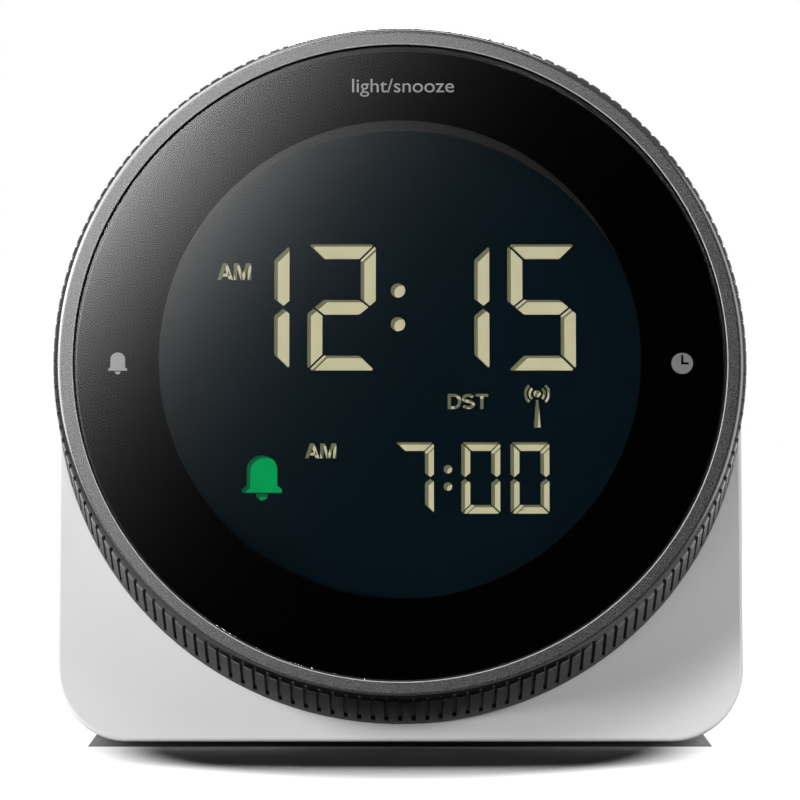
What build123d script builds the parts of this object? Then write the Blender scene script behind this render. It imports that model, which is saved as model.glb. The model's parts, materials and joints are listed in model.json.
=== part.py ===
from build123d import *
import math
import os

# Radio-controlled alarm clock: a leaning housing that carries a round display inside a turning ring.
# Millimetres, +Z up, the clock stands on z = 0 and faces -Y, with the middle of its box over the origin.
# Face pieces are drawn in the face's own frame: x to the right, y up the face, z out of the face.
# A depth is measured backwards from the front of the ring.

# Whole clock
LEAN_DEG = 13.0
TOTAL_DEPTH = 56.0
OVERRUN = 1.0

# Turning ring
RING_DIAMETER = 78.0
RING_WALL = 1.8
RING_FRONT_WIDTH = 2.2
RING_FRONT_ROUND = 0.9
RING_LIP_DEPTH = 2.9
RING_BORE_CHAMFER = 0.1
RING_RUNNING_CLEARANCE = 0.1
RING_END_PLAY = 0.1
RING_LIP_CLEARANCE = 0.2
RING_TO_HOUSING_GAP = 0.5
RING_TABLE_CLEARANCE = 2.6
GROOVE_COUNT = 160
GROOVE_WIDTH = 0.5
GROOVE_DEPTH = 0.4
GROOVE_START = 0.2
GROOVE_REAR_RIM = 1.9

# Internal gear of the ring and the pinion that it turns
GEAR_RIM_WIDTH = 5.75
RING_TEETH = 105
PINION_TEETH = 15
PRESSURE_ANGLE_DEG = 20.0
TOOTH_BACKLASH = 0.1
RING_ADDENDUM_SHARE = 0.75
PINION_ADDENDUM_SHARE = 1.0
DEDENDUM_SHARE = 1.25
FLANK_STEPS = 4
GEAR_THICKNESS = 1.2
GEAR_SEAT = 0.8
GEAR_SEAT_CLEARANCE = 0.03
PINION_THICKNESS = 1.0
PINION_POCKET_CLEARANCE = 0.6
ENCODER_ANGLE_DEG = 315.0
ENCODER_WIDTH = 7.0
ENCODER_THICKNESS = 1.4
ENCODER_SHAFT_DIAMETER = 1.8
ENCODER_SHAFT_ENTRY = 0.9
ENCODER_SHAFT_CLEARANCE = 0.05

# Lens, its black print and the tilting mount behind it
LENS_GAP = 0.15
LENS_RECESS = 0.35
LENS_THICKNESS = 1.8
LENS_CHAMFER = 0.25
PRINT_THICKNESS = 0.1
PRINT_INSET = 0.3
PRINT_BAND = 9.5
WINDOW_EXTRA_HEIGHT = 0.55
WINDOW_RAISE = 0.6
CARRIER_THICKNESS = 1.2
CARRIER_CLEARANCE = 0.4
CARRIER_INNER_MARGIN = 0.4
POST_DIAMETER = 2.0
POST_INSET = 1.5
POST_LENGTH = 3.0
LUG_WIDTH = 3.0
LUG_LENGTH = 1.5
LUG_CLEARANCE = 0.4
CARRIER_PIN_DIAMETER = 0.6
CARRIER_PIN_REACH = 1.3
FRAME_WIDTH = 1.6
FRAME_THICKNESS = 1.0
FRAME_GAP = 0.5
FRAME_SIDE_GAP = 0.3
HINGE_PIN_DIAMETER = 1.0
BARREL_DIAMETER = 1.6
BARREL_CLEARANCE = 0.8
BARREL_LENGTH = 10.0
FORK_GAP = 5.0
EAR_WIDTH = 2.4
EAR_GAP = 0.3
PIN_CLEARANCE = 0.04

# Front drum that carries the ring, the boards and the display
DRUM_WALL = 1.5
WEB_THICKNESS = 1.2
HUB_WIDTH = 2.8
HUB_CLEARANCE = 0.75
CHASSIS_SCREW_COUNT = 4
CHASSIS_SCREW_START_DEG = 65.0

# Display
HOLDER_GAP = 0.65
HOLDER_LIP = 0.4
HOLDER_WALL = 0.9
HOLDER_SETBACK = 0.85
HOLDER_LIP_OVERLAP = 0.7
GLASS_CLEARANCE = 0.15
GLASS_THICKNESS = 0.7
GLASS_SIDES = 8
CONTACT_LEDGE = 3.0
CONTACT_STRIP_WIDTH = 2.0
CONTACT_STRIP_SPAN_SHARE = 0.88
CONTACT_STRIP_INSET = 0.4
GUIDE_THICKNESS = 1.3
GUIDE_SIDE_INSET = 2.6
GUIDE_END_GAP = 0.4
REFLECTOR_THICKNESS = 0.2
LED_WIDTH = 1.5
LED_LENGTH = 3.0
LED_HEIGHT = 1.1
LED_GAP = 0.1
SEGMENT_THICKNESS = 0.1

# Digits of the display and their places from the middle of the face, as shares of the window's half width
TIME_DIGIT_WIDTH_SHARE = 0.2847
TIME_DIGIT_HEIGHT_SHARE = 0.5402
TIME_STROKE_SHARE = 0.0625
TIME_DIGIT_PITCH_SHARE = 0.36022
TIME_HOURS_X_SHARE = -0.42357
TIME_MINUTES_X_SHARE = 0.40994
TIME_UP_SHARE = 0.2734
TIME_COLON_X_SHARE = -0.00847
TIME_COLON_PITCH_SHARE = 0.14438
TIME_DOT_DIAMETER_SHARE = 0.06
ALARM_DIGIT_WIDTH_SHARE = 0.1612
ALARM_DIGIT_HEIGHT_SHARE = 0.3032
ALARM_STROKE_SHARE = 0.0367
ALARM_DIGIT_PITCH_SHARE = 0.20405
ALARM_HOUR_X_SHARE = 0.06004
ALARM_MINUTES_X_SHARE = 0.43746
ALARM_UP_SHARE = -0.455
ALARM_COLON_X_SHARE = 0.1989
ALARM_COLON_PITCH_SHARE = 0.07366
ALARM_DOT_DIAMETER_SHARE = 0.0352
CORNER_CUT_SHARE = 0.27
SEGMENT_GAP_SHARE = 0.095
TIP_SHARE = 0.4
WAIST_SHARE = 0.45

# Boards and what stands on them
BOARD_THICKNESS = 1.0
BOARD_CLEARANCE = 0.4
BOARD_BOSS_HEIGHT = 1.1
BOARD_BOSS_DIAMETER = 3.6
BOARD_SCREW_INSET = 2.2
BOARD_SCREW_ANGLES_DEG = (45.0, 135.0, 225.0)
SWITCH_ANGLES_DEG = (90.0, 180.0, 0.0)
SWITCH_WIDTH = 3.0
SWITCH_HEIGHT = 1.3
PLUNGER_DIAMETER = 1.6
PLUNGER_ENTRY = 0.5
PLUNGER_TRAVEL = 0.5
PLUNGER_CLEARANCE = 0.05
SNOOZE_FREE_PLAY = 0.05
SIDE_FREE_PLAY = 0.3
CHIP_DIAMETER = 9.0
CHIP_HEIGHT = 1.0
CHIP_X = -6.0
CHIP_UP = 6.0
CRYSTAL_DIAMETER = 2.0
CRYSTAL_LENGTH = 6.0
CRYSTAL_X = 8.0
CRYSTAL_UP = 10.0

# Small screws
SCREW_DIAMETER = 1.8
SCREW_HEAD_DIAMETER = 3.6
SCREW_HEAD_HEIGHT = 1.1
SCREW_CLEARANCE = 0.05
SCREW_PASSAGE_CLEARANCE = 0.2
SCREW_SLOT_WIDTH = 0.5
SCREW_SLOT_DEPTH = 0.5
SCREW_GRIP = 0.8
PILOT_EXTRA = 0.15
CHASSIS_SCREW_GRIP = 2.2

# Housing
HOUSING_SIDE_INSET = 0.15
HOUSING_CORNER_RADIUS = 8.1
HOUSING_WALL = 2.2
HOUSING_FRONT_WALL = 2.0
HOUSING_FRONT_ROUND = 0.45
WIRE_OPENING_WIDTH = 26.0
WIRE_OPENING_HEIGHT = 10.0
WIRE_OPENING_UP = -6.0
WIRE_OPENING_ROUND = 2.0

# Foot pad
FOOT_HEIGHT = 0.6
FOOT_SIDE_INSET = 3.55
FOOT_FLARE_DEG = 54.0
FOOT_END_HEIGHT = 1.8
FOOT_FRONT_INSET = 1.2
FOOT_REAR_INSET = 1.5
FOOT_KEY_DEPTH = 0.6
FOOT_KEY_INSET = 3.0

# Rear cover and its screws
COVER_THICKNESS = 3.0
COVER_EDGE_ROUND = 2.2
COVER_RIM_DEPTH = 2.0
COVER_RIM_WALL = 1.2
COVER_RIM_CLEARANCE = 0.12
BOSS_DIAMETER = 6.0
BOSS_SIDE_INSET = 9.4
LOWER_BOSS_RAISE = 8.4
UPPER_BOSS_RAISE = 46.0
COVER_SCREW_DIAMETER = 2.2
COVER_SCREW_HEAD_DIAMETER = 4.2
COVER_SCREW_HEAD_HEIGHT = 1.3
COVER_SCREW_LENGTH = 9.0
COVER_HEAD_SINK = 1.6

# Sounder behind the holes of the rear cover
SOUNDER_DIAMETER = 20.0
SOUNDER_THICKNESS = 0.3
SOUNDER_CERAMIC_DIAMETER = 14.0
SOUNDER_CERAMIC_THICKNESS = 0.2
SOUNDER_STANDOFF = 2.4
SOUNDER_LEDGE = 0.9
SOUNDER_RIM_WALL = 1.2
SOUNDER_RIM_HEIGHT = 0.9
SOUNDER_CLEARANCE = 0.15
SOUNDER_TO_TRAY = 2.5
SOUND_HOLE_DIAMETER = 1.4
SOUND_HOLE_PITCH = 2.9
SOUND_HOLE_ROWS = 2

# Battery bay, its cells and its door
CELL_DIAMETER = 10.5
CELL_LENGTH = 44.5
CELL_NUB_DIAMETER = 3.8
CELL_NUB_HEIGHT = 0.8
CELL_EDGE_ROUND = 0.5
CELL_SPACING = 0.5
CELL_CLEARANCE = 0.4
CELL_SPRING_GAP = 5.2
CONTACT_THICKNESS = 0.4
CONTACT_WIDTH = 7.0
CONTACT_TAB = 3.0
CONTACT_TAB_HEIGHT = 3.0
CONTACT_SLOT_CLEARANCE = 0.2
LEAF_THICKNESS = 0.3
LEAF_WIDTH = 5.0
LEAF_SLIT_SHARE = 0.45
TRAY_WALL = 1.2
TRAY_RAISE = 13.6
DOOR_THICKNESS = 1.7
DOOR_SEAT_GAP = 0.15
DOOR_LEDGE = 1.5
DOOR_CLEARANCE = 0.3
DOOR_CORNER_RADIUS = 1.5
TRUNNION_DIAMETER = 1.0
TRUNNION_LENGTH = 1.4
TRUNNION_END_GAP = 0.2
TRUNNION_CLEARANCE = 0.06
FINGER_NOTCH_WIDTH = 11.0
FINGER_NOTCH_DEPTH = 1.3

# Radio receiver
ROD_DIAMETER = 8.0
ROD_SPAN_SHARE = 0.65
ROD_UP = 16.5
COIL_DIAMETER = 11.5
COIL_LENGTH_SHARE = 0.46
COIL_CLEARANCE = 0.05
COIL_WALL_GAP = 0.5
CLIP_WIDTH = 3.5
CLIP_HEIGHT = 11.0
CLIP_PLACE_SHARE = 0.4
CLIP_BACK_WALL = 1.6
CLIP_CLEARANCE = 0.05
RECEIVER_WIDTH = 18.0
RECEIVER_HEIGHT = 9.0
RECEIVER_X = -14.0
RECEIVER_UP = 5.0
RECEIVER_STANDOFF = 2.0
STANDOFF_DIAMETER = 3.0
STANDOFF_INSET = 2.0
RECEIVER_CHIP_WIDTH = 5.0
RECEIVER_CHIP_HEIGHT = 1.2

# Leads
LEAD_DIAMETER = 1.2
LEAD_BEND_SHARE = 0.45
LEAD_STRAIGHT = 5.0
BATTERY_LEAD_X = (-9.0, -6.0)
BATTERY_LEAD_UP = (-5.0, -8.0)
SOUNDER_LEAD_X = (3.0, 6.0)
SOUNDER_LEAD_START_X = (-2.0, 2.0)
SOUNDER_LEAD_DROP = 4.0
SOUNDER_LEAD_UP = -5.0

# Sizes that follow across the face, from the ring inwards
lean = math.radians(LEAN_DEG)
ring_radius = RING_DIAMETER / 2
lens_radius = ring_radius - RING_FRONT_WIDTH - LENS_GAP
bore_radius = ring_radius - RING_FRONT_WIDTH
bearing_radius = ring_radius - RING_WALL
gear_seat_radius = bearing_radius + GEAR_SEAT
drum_radius = bearing_radius - RING_RUNNING_CLEARANCE
drum_inner_radius = drum_radius - DRUM_WALL
carrier_radius = drum_inner_radius - CARRIER_CLEARANCE
post_circle = carrier_radius - POST_INSET
hinge_drop = drum_inner_radius - BARREL_CLEARANCE - BARREL_DIAMETER / 2
lug_outer = hinge_drop - BARREL_DIAMETER / 2 - LUG_CLEARANCE
lug_inner = lug_outer - LUG_LENGTH
frame_radius = lug_inner - FRAME_SIDE_GAP
frame_inner_radius = frame_radius - FRAME_WIDTH
carrier_inner_radius = frame_inner_radius - CARRIER_INNER_MARGIN
window_half_width = lens_radius - PRINT_BAND
window_half_height = window_half_width + WINDOW_EXTRA_HEIGHT
holder_opening_radius = window_half_width + HOLDER_SETBACK
glass_half = holder_opening_radius + HOLDER_LIP_OVERLAP
holder_inner_half = glass_half + GLASS_CLEARANCE
holder_half = holder_inner_half + HOLDER_WALL
board_radius = drum_inner_radius - BOARD_CLEARANCE
board_screw_circle = board_radius - BOARD_SCREW_INSET
half_width = ring_radius - HOUSING_SIDE_INSET
foot_half_width = half_width - FOOT_SIDE_INSET

# Gear sizes
gear_module = (gear_seat_radius - GEAR_RIM_WIDTH) / (RING_TEETH / 2 + DEDENDUM_SHARE)
ring_pitch_radius = gear_module * RING_TEETH / 2
pinion_pitch_radius = gear_module * PINION_TEETH / 2
pinion_offset = ring_pitch_radius - pinion_pitch_radius
ring_tip_radius = ring_pitch_radius - gear_module * RING_ADDENDUM_SHARE
ring_root_radius = ring_pitch_radius + gear_module * DEDENDUM_SHARE
pinion_tip_radius = pinion_pitch_radius + gear_module * PINION_ADDENDUM_SHARE
pinion_root_radius = pinion_pitch_radius - gear_module * DEDENDUM_SHARE
hub_radius = ring_tip_radius - HUB_CLEARANCE
hub_inner_radius = hub_radius - HUB_WIDTH
hub_middle_radius = hub_radius - HUB_WIDTH / 2

# Depths, from the front of the ring backwards
lens_front = LENS_RECESS
lens_back = lens_front + LENS_THICKNESS
print_back = lens_back + PRINT_THICKNESS
carrier_back = print_back + CARRIER_THICKNESS
post_end = carrier_back + POST_LENGTH
frame_front = carrier_back + FRAME_GAP
frame_back = frame_front + FRAME_THICKNESS
pivot_depth = frame_front + FRAME_THICKNESS / 2
holder_front = frame_back + HOLDER_GAP
glass_front = holder_front + HOLDER_LIP
glass_middle = glass_front + GLASS_THICKNESS
glass_back = glass_middle + GLASS_THICKNESS
guide_back = glass_back + GUIDE_THICKNESS
board_front = guide_back + REFLECTOR_THICKNESS
board_back = board_front + BOARD_THICKNESS
web_front = board_back + BOARD_BOSS_HEIGHT
drum_front = RING_LIP_DEPTH + RING_LIP_CLEARANCE
drum_back = web_front + WEB_THICKNESS
gear_front = drum_back + RING_END_PLAY
ring_depth = gear_front + GEAR_THICKNESS
pinion_front = gear_front + (GEAR_THICKNESS - PINION_THICKNESS) / 2
pinion_back = pinion_front + PINION_THICKNESS
housing_front = ring_depth + RING_TO_HOUSING_GAP
wall_back = housing_front + HOUSING_FRONT_WALL
rod_depth = wall_back + COIL_WALL_GAP + COIL_DIAMETER / 2
rod_length = 2 * (half_width - HOUSING_WALL) * ROD_SPAN_SHARE
coil_length = rod_length * COIL_LENGTH_SHARE
clip_x = rod_length * CLIP_PLACE_SHARE

# Places in the clock's own frame
front_reach = (ring_radius - RING_FRONT_ROUND) * math.sin(lean) + RING_FRONT_ROUND * (1 - math.cos(lean))
face_y = front_reach - TOTAL_DEPTH / 2
face_height = RING_TABLE_CLEARANCE + ring_radius * math.cos(lean) + ring_depth * math.sin(lean)
base_z = FOOT_HEIGHT
back_y = TOTAL_DEPTH / 2
split_y = back_y - COVER_THICKNESS
FACE = Plane(origin=(0, face_y, face_height), x_dir=(1, 0, 0), z_dir=(0, -math.cos(lean), math.sin(lean)))

# Battery bay
door_seat_y = back_y - DOOR_THICKNESS - DOOR_SEAT_GAP
cell_y = door_seat_y - CELL_CLEARANCE - CELL_DIAMETER / 2
tray_front_y = cell_y - CELL_DIAMETER / 2 - CELL_CLEARANCE
tray_length = CELL_LENGTH + CELL_SPRING_GAP + 2 * CONTACT_THICKNESS
tray_height = 2 * CELL_DIAMETER + CELL_SPACING + 2 * CELL_CLEARANCE
tray_bottom = base_z + TRAY_RAISE
tray_middle = tray_bottom + tray_height / 2
tray_top = tray_bottom + tray_height
cell_rise = (CELL_DIAMETER + CELL_SPACING) / 2
opening_width = tray_length + 2 * DOOR_LEDGE
opening_height = tray_height + 2 * DOOR_LEDGE
door_width = opening_width - 2 * DOOR_CLEARANCE
door_bottom = tray_bottom - DOOR_LEDGE + DOOR_CLEARANCE
door_top = tray_top + DOOR_LEDGE - DOOR_CLEARANCE
hinge_y = back_y - DOOR_THICKNESS / 2
hinge_z = door_bottom + DOOR_THICKNESS / 2
sounder_radius = SOUNDER_DIAMETER / 2
sounder_rim_radius = sounder_radius + SOUNDER_CLEARANCE + SOUNDER_RIM_WALL
sounder_z = tray_top + DOOR_LEDGE + SOUNDER_TO_TRAY + sounder_rim_radius
sounder_y = split_y - SOUNDER_STANDOFF

CENTRE_MIN = (Align.CENTER, Align.CENTER, Align.MIN)


def face_drum(radius, front, back, x=0, up=0):
    """Cylinder square to the face, between two depths."""
    return Pos(x, up, -back) * Cylinder(radius, back - front, align=CENTRE_MIN)


def face_ring(inner_radius, outer_radius, front, back):
    """Ring square to the face, between two depths."""
    hole = face_drum(inner_radius, front - OVERRUN, back + OVERRUN)
    return face_drum(outer_radius, front, back) - hole


def face_block(width, height, front, back, x=0, up=0):
    """Block square to the face, between two depths."""
    return Pos(x, up, -back) * Box(width, height, back - front, align=CENTRE_MIN)


def face_slab(outline, front, back):
    """Flat outline in the face, thickened between two depths."""
    return Pos(0, 0, -back) * extrude(outline, back - front)


def rod_along_x(radius, length, x, up, depth):
    """Cylinder along the face's x axis, with its middle at the given place."""
    return Pos(x, up, -depth) * Rot(0, 90, 0) * Cylinder(radius, length)


def polar(radius, degrees):
    """Place on a circle about the middle of the face."""
    angle = math.radians(degrees)
    return radius * math.cos(angle), radius * math.sin(angle)


def rear_drum(radius, front_y, rear_y, x, z):
    """Cylinder along the clock's y axis."""
    return Pos(x, front_y, z) * Rot(-90, 0, 0) * Cylinder(radius, rear_y - front_y, align=CENTRE_MIN)


def world_block(width, front_y, rear_y, low_z, high_z, x=0):
    """Block in the clock's own frame, centred on x."""
    middle = Pos(x, (front_y + rear_y) / 2, (low_z + high_z) / 2)
    return middle * Box(width, rear_y - front_y, high_z - low_z)


def on_face(shape):
    """Move a piece from the face's frame to the clock's frame."""
    return FACE.location * shape


def octagon(half):
    """Eight-sided plate outline with two level sides."""
    corner_radius = half / math.cos(math.pi / GLASS_SIDES)
    return Rot(0, 0, 180 / GLASS_SIDES) * RegularPolygon(corner_radius, GLASS_SIDES)


def involute_angle(base_radius, radius):
    """How far an involute has turned from its base circle at a radius."""
    if radius <= base_radius:
        return 0
    pressure = math.acos(base_radius / radius)
    return math.tan(pressure) - pressure


def tooth_half_angle(pitch_radius, teeth, widening, radius):
    """Half of a tooth's angle at a radius, for a tooth widened at the pitch circle."""
    base_radius = pitch_radius * math.cos(math.radians(PRESSURE_ANGLE_DEG))
    half_at_pitch = math.pi / (2 * teeth) + widening / (2 * pitch_radius)
    return half_at_pitch + involute_angle(base_radius, pitch_radius) - involute_angle(base_radius, radius)


def toothed_outline(pitch_radius, teeth, widening, low_radius, high_radius):
    """Outline of a toothed wheel with one tooth on the x axis."""
    steps = [step / FLANK_STEPS for step in range(FLANK_STEPS + 1)]
    radii = [low_radius + share * (high_radius - low_radius) for share in steps]
    points = []
    for tooth in range(teeth):
        middle = 2 * math.pi * tooth / teeth
        halves = [tooth_half_angle(pitch_radius, teeth, widening, radius) for radius in radii]
        rising = [(radius, middle - half) for radius, half in zip(radii, halves)]
        falling = [(radius, middle + half) for radius, half in zip(radii, halves)]
        for radius, angle in rising + falling[::-1]:
            points.append((radius * math.cos(angle), radius * math.sin(angle)))
    return make_face(Polyline(*points, close=True))


def screw(diameter, head_diameter, head_height, length):
    """Slotted screw along +z, with the seat of its head at z = 0 and its point below."""
    head = Cylinder(head_diameter / 2, head_height, align=CENTRE_MIN)
    shank = Pos(0, 0, -length) * Cylinder(diameter / 2, length, align=CENTRE_MIN)
    slot = Pos(0, 0, head_height - SCREW_SLOT_DEPTH) * Box(
        head_diameter + OVERRUN, SCREW_SLOT_WIDTH, SCREW_SLOT_DEPTH + OVERRUN, align=CENTRE_MIN
    )
    return head + shank - slot


# Turning ring


def groove_cutters():
    """Round-ended slots all round the rim of the ring."""
    length = ring_depth - GROOVE_REAR_RIM - GROOVE_START
    middle = GROOVE_START + length / 2
    floor = Plane(origin=(ring_radius - GROOVE_DEPTH, 0, -middle), x_dir=(0, 0, 1), z_dir=(1, 0, 0))
    cutter = extrude(floor * SlotOverall(length, GROOVE_WIDTH), GROOVE_DEPTH + OVERRUN)
    return [Rot(0, 0, 360 * index / GROOVE_COUNT) * cutter for index in range(GROOVE_COUNT)]


def make_bezel_ring():
    ring = face_drum(ring_radius, 0, ring_depth)
    ring = fillet(ring.edges().filter_by(GeomType.CIRCLE).sort_by(Axis.Z)[-1], RING_FRONT_ROUND)
    ring -= face_drum(bore_radius, -OVERRUN, RING_LIP_DEPTH)
    bore_edges = ring.edges().filter_by(GeomType.CIRCLE).group_by(Axis.Z)[-1]
    ring = chamfer(bore_edges.sort_by(SortBy.RADIUS)[0], RING_BORE_CHAMFER)
    ring -= face_drum(bearing_radius, RING_LIP_DEPTH, ring_depth + OVERRUN)
    ring -= face_drum(gear_seat_radius, gear_front, ring_depth + OVERRUN)
    return ring - groove_cutters()


def make_bezel_gear():
    teeth = toothed_outline(ring_pitch_radius, RING_TEETH, TOOTH_BACKLASH, ring_tip_radius, ring_root_radius)
    plate = Circle(gear_seat_radius - GEAR_SEAT_CLEARANCE) - Rot(0, 0, ENCODER_ANGLE_DEG) * teeth
    return face_slab(plate, gear_front, ring_depth)


# Encoder that the ring turns


def make_encoder_pinion():
    teeth = toothed_outline(
        pinion_pitch_radius, PINION_TEETH, -TOOTH_BACKLASH, pinion_root_radius, pinion_tip_radius
    )
    outline = teeth - Circle(ENCODER_SHAFT_DIAMETER / 2)
    wheel = face_slab(outline, pinion_front, pinion_back)
    return Rot(0, 0, ENCODER_ANGLE_DEG) * Pos(pinion_offset, 0) * wheel


def make_encoder_shaft():
    start = board_back + ENCODER_THICKNESS - ENCODER_SHAFT_ENTRY
    x, up = polar(pinion_offset, ENCODER_ANGLE_DEG)
    return face_drum(ENCODER_SHAFT_DIAMETER / 2, start, pinion_back, x, up)


def make_encoder_body():
    end = board_back + ENCODER_THICKNESS
    bore_radius_here = ENCODER_SHAFT_DIAMETER / 2 + ENCODER_SHAFT_CLEARANCE
    body = face_block(ENCODER_WIDTH, ENCODER_WIDTH, board_back, end)
    body -= face_drum(bore_radius_here, end - ENCODER_SHAFT_ENTRY - ENCODER_SHAFT_CLEARANCE, end + OVERRUN)
    return Rot(0, 0, ENCODER_ANGLE_DEG) * Pos(pinion_offset, 0) * body


# Lens and its tilting mount


def make_lens():
    lens = face_drum(lens_radius, lens_front, lens_back)
    return chamfer(lens.edges().filter_by(GeomType.CIRCLE).sort_by(Axis.Z)[-1], LENS_CHAMFER)


def make_lens_mask():
    window = Pos(0, WINDOW_RAISE) * Ellipse(window_half_width, window_half_height)
    return face_slab(Circle(lens_radius - PRINT_INSET) - window, lens_back, print_back)


def make_lens_carrier():
    carrier = face_ring(carrier_inner_radius, carrier_radius, print_back, carrier_back)
    for degrees in SWITCH_ANGLES_DEG:
        x, up = polar(post_circle, degrees)
        carrier += face_drum(POST_DIAMETER / 2, carrier_back, post_end, x, up)
    for side in (1, -1):
        lug_up = side * (lug_outer - LUG_LENGTH / 2)
        carrier += face_block(LUG_WIDTH, LUG_LENGTH, carrier_back, frame_back, 0, lug_up)
    pins = make_carrier_pins()
    return carrier - pins


def make_carrier_pins():
    """Two pins up and down the face, held by the carrier's lugs."""
    start = lug_inner - CARRIER_PIN_REACH
    length = lug_outer - start
    pin = Pos(0, start, -pivot_depth) * Rot(-90, 0, 0) * Cylinder(
        CARRIER_PIN_DIAMETER / 2, length, align=CENTRE_MIN
    )
    return [pin, Rot(0, 0, 180) * pin]


def make_press_frame():
    frame = face_ring(frame_inner_radius, frame_radius, frame_front, frame_back)
    arm_width = (BARREL_LENGTH - FORK_GAP) / 2
    arm_x = (BARREL_LENGTH + FORK_GAP) / 4
    arm_height = hinge_drop - frame_inner_radius - FRAME_WIDTH / 2
    arm_up = -hinge_drop + arm_height / 2
    for side in (1, -1):
        frame += face_block(arm_width, arm_height, frame_front, frame_back, side * arm_x, arm_up)
        frame += rod_along_x(BARREL_DIAMETER / 2, arm_width, side * arm_x, -hinge_drop, pivot_depth)
    frame -= rod_along_x(
        HINGE_PIN_DIAMETER / 2 + PIN_CLEARANCE, BARREL_LENGTH + OVERRUN, 0, -hinge_drop, pivot_depth
    )
    pin_hole = Pos(0, 0, -pivot_depth) * Rot(-90, 0, 0) * Cylinder(
        CARRIER_PIN_DIAMETER / 2 + PIN_CLEARANCE, 2 * frame_radius + OVERRUN
    )
    return frame - pin_hole


def make_hinge_pin():
    length = BARREL_LENGTH + 2 * (EAR_GAP + EAR_WIDTH)
    return rod_along_x(HINGE_PIN_DIAMETER / 2, length, 0, -hinge_drop, pivot_depth)


# Front drum


def make_front_chassis():
    chassis = face_ring(drum_inner_radius, drum_radius, drum_front, drum_back)
    chassis += face_ring(hub_inner_radius, drum_radius, web_front, drum_back)
    chassis += face_ring(hub_inner_radius, hub_radius, drum_back, housing_front)
    ear_x = BARREL_LENGTH / 2 + EAR_GAP + EAR_WIDTH / 2
    ear_low = hinge_drop - BARREL_DIAMETER / 2
    ear_height = drum_inner_radius + DRUM_WALL / 2 - ear_low
    ear_front = pivot_depth - BARREL_DIAMETER / 2
    ear_back = pivot_depth + BARREL_DIAMETER / 2
    ear_reach = face_drum(drum_radius, drum_front, drum_back)
    for side in (1, -1):
        ear = face_block(EAR_WIDTH, ear_height, ear_front, ear_back, side * ear_x, -ear_low - ear_height / 2)
        chassis += ear & ear_reach
    pilot_radius = SCREW_DIAMETER / 2 + SCREW_CLEARANCE
    for degrees in BOARD_SCREW_ANGLES_DEG:
        x, up = polar(board_screw_circle, degrees)
        chassis += face_drum(BOARD_BOSS_DIAMETER / 2, board_back, web_front, x, up)
    for degrees in BOARD_SCREW_ANGLES_DEG:
        x, up = polar(board_screw_circle, degrees)
        pilot_end = web_front + SCREW_GRIP + PILOT_EXTRA
        chassis -= face_drum(pilot_radius, board_back - OVERRUN, pilot_end, x, up)
    for x, up in chassis_screw_places():
        pilot_start = housing_front - CHASSIS_SCREW_GRIP - PILOT_EXTRA
        chassis -= face_drum(pilot_radius, pilot_start, housing_front + OVERRUN, x, up)
    pocket_radius = max(pinion_tip_radius, ENCODER_WIDTH / math.sqrt(2)) + PINION_POCKET_CLEARANCE
    x, up = polar(pinion_offset, ENCODER_ANGLE_DEG)
    chassis -= face_drum(pocket_radius, web_front - OVERRUN, housing_front + OVERRUN, x, up)
    return chassis - make_hinge_pin()


def chassis_screw_places():
    """Screw places on the drum's rear hub."""
    turn = 360 / CHASSIS_SCREW_COUNT
    return [
        polar(hub_middle_radius, CHASSIS_SCREW_START_DEG + turn * index) for index in range(CHASSIS_SCREW_COUNT)
    ]


def make_chassis_screws():
    """Screws from inside the housing into the drum's hub."""
    one = screw(SCREW_DIAMETER, SCREW_HEAD_DIAMETER, SCREW_HEAD_HEIGHT, HOUSING_FRONT_WALL + CHASSIS_SCREW_GRIP)
    facing_back = Rot(180, 0, 0) * one
    return [Pos(x, up, -wall_back) * facing_back for x, up in chassis_screw_places()]


# Display


def make_lcd_holder():
    outer = face_slab(octagon(holder_half), holder_front, board_front)
    outer -= face_slab(octagon(holder_inner_half), glass_front, board_front + OVERRUN)
    return outer - face_drum(holder_opening_radius, holder_front - OVERRUN, glass_front + OVERRUN)


def make_lcd_front_glass():
    return face_slab(octagon(glass_half), glass_front, glass_middle)


def make_lcd_rear_glass():
    plate = face_slab(octagon(glass_half), glass_middle, glass_back)
    height = 2 * (glass_half - CONTACT_LEDGE)
    return plate & face_block(2 * glass_half, height, glass_middle, glass_back)


def make_contact_strips():
    """Conducting rubber strips from the front glass to the board, above and below the light guide."""
    middle = glass_half - CONTACT_STRIP_INSET - CONTACT_STRIP_WIDTH / 2
    length = 2 * glass_half * math.tan(math.pi / GLASS_SIDES) * CONTACT_STRIP_SPAN_SHARE
    return [
        face_block(length, CONTACT_STRIP_WIDTH, glass_middle, board_front, 0, side * middle)
        for side in (1, -1)
    ]


def guide_outline():
    width = 2 * (glass_half - GUIDE_SIDE_INSET)
    height = 2 * (glass_half - CONTACT_LEDGE - GUIDE_END_GAP)
    return octagon(glass_half - GUIDE_SIDE_INSET) & Rectangle(width, height)


def make_light_guide():
    return face_slab(guide_outline(), glass_back, guide_back)


def make_reflector_sheet():
    return face_slab(guide_outline(), guide_back, board_front)


def make_backlight_leds():
    x = glass_half - GUIDE_SIDE_INSET + LED_GAP + LED_WIDTH / 2
    return [face_block(LED_WIDTH, LED_LENGTH, board_front - LED_HEIGHT, board_front, side * x) for side in (1, -1)]


def top_segment(width, height, stroke):
    """Upper bar of a seven-segment digit, with the digit's lower left corner at the origin."""
    cut = stroke * CORNER_CUT_SHARE
    gap = stroke * SEGMENT_GAP_SHARE
    return [
        ((cut + gap) / 2, height - (cut - gap) / 2),
        (cut, height),
        (width - cut, height),
        (width - (cut + gap) / 2, height - (cut - gap) / 2),
        (width - stroke - gap, height - stroke),
        (stroke + gap, height - stroke),
    ]


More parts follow.
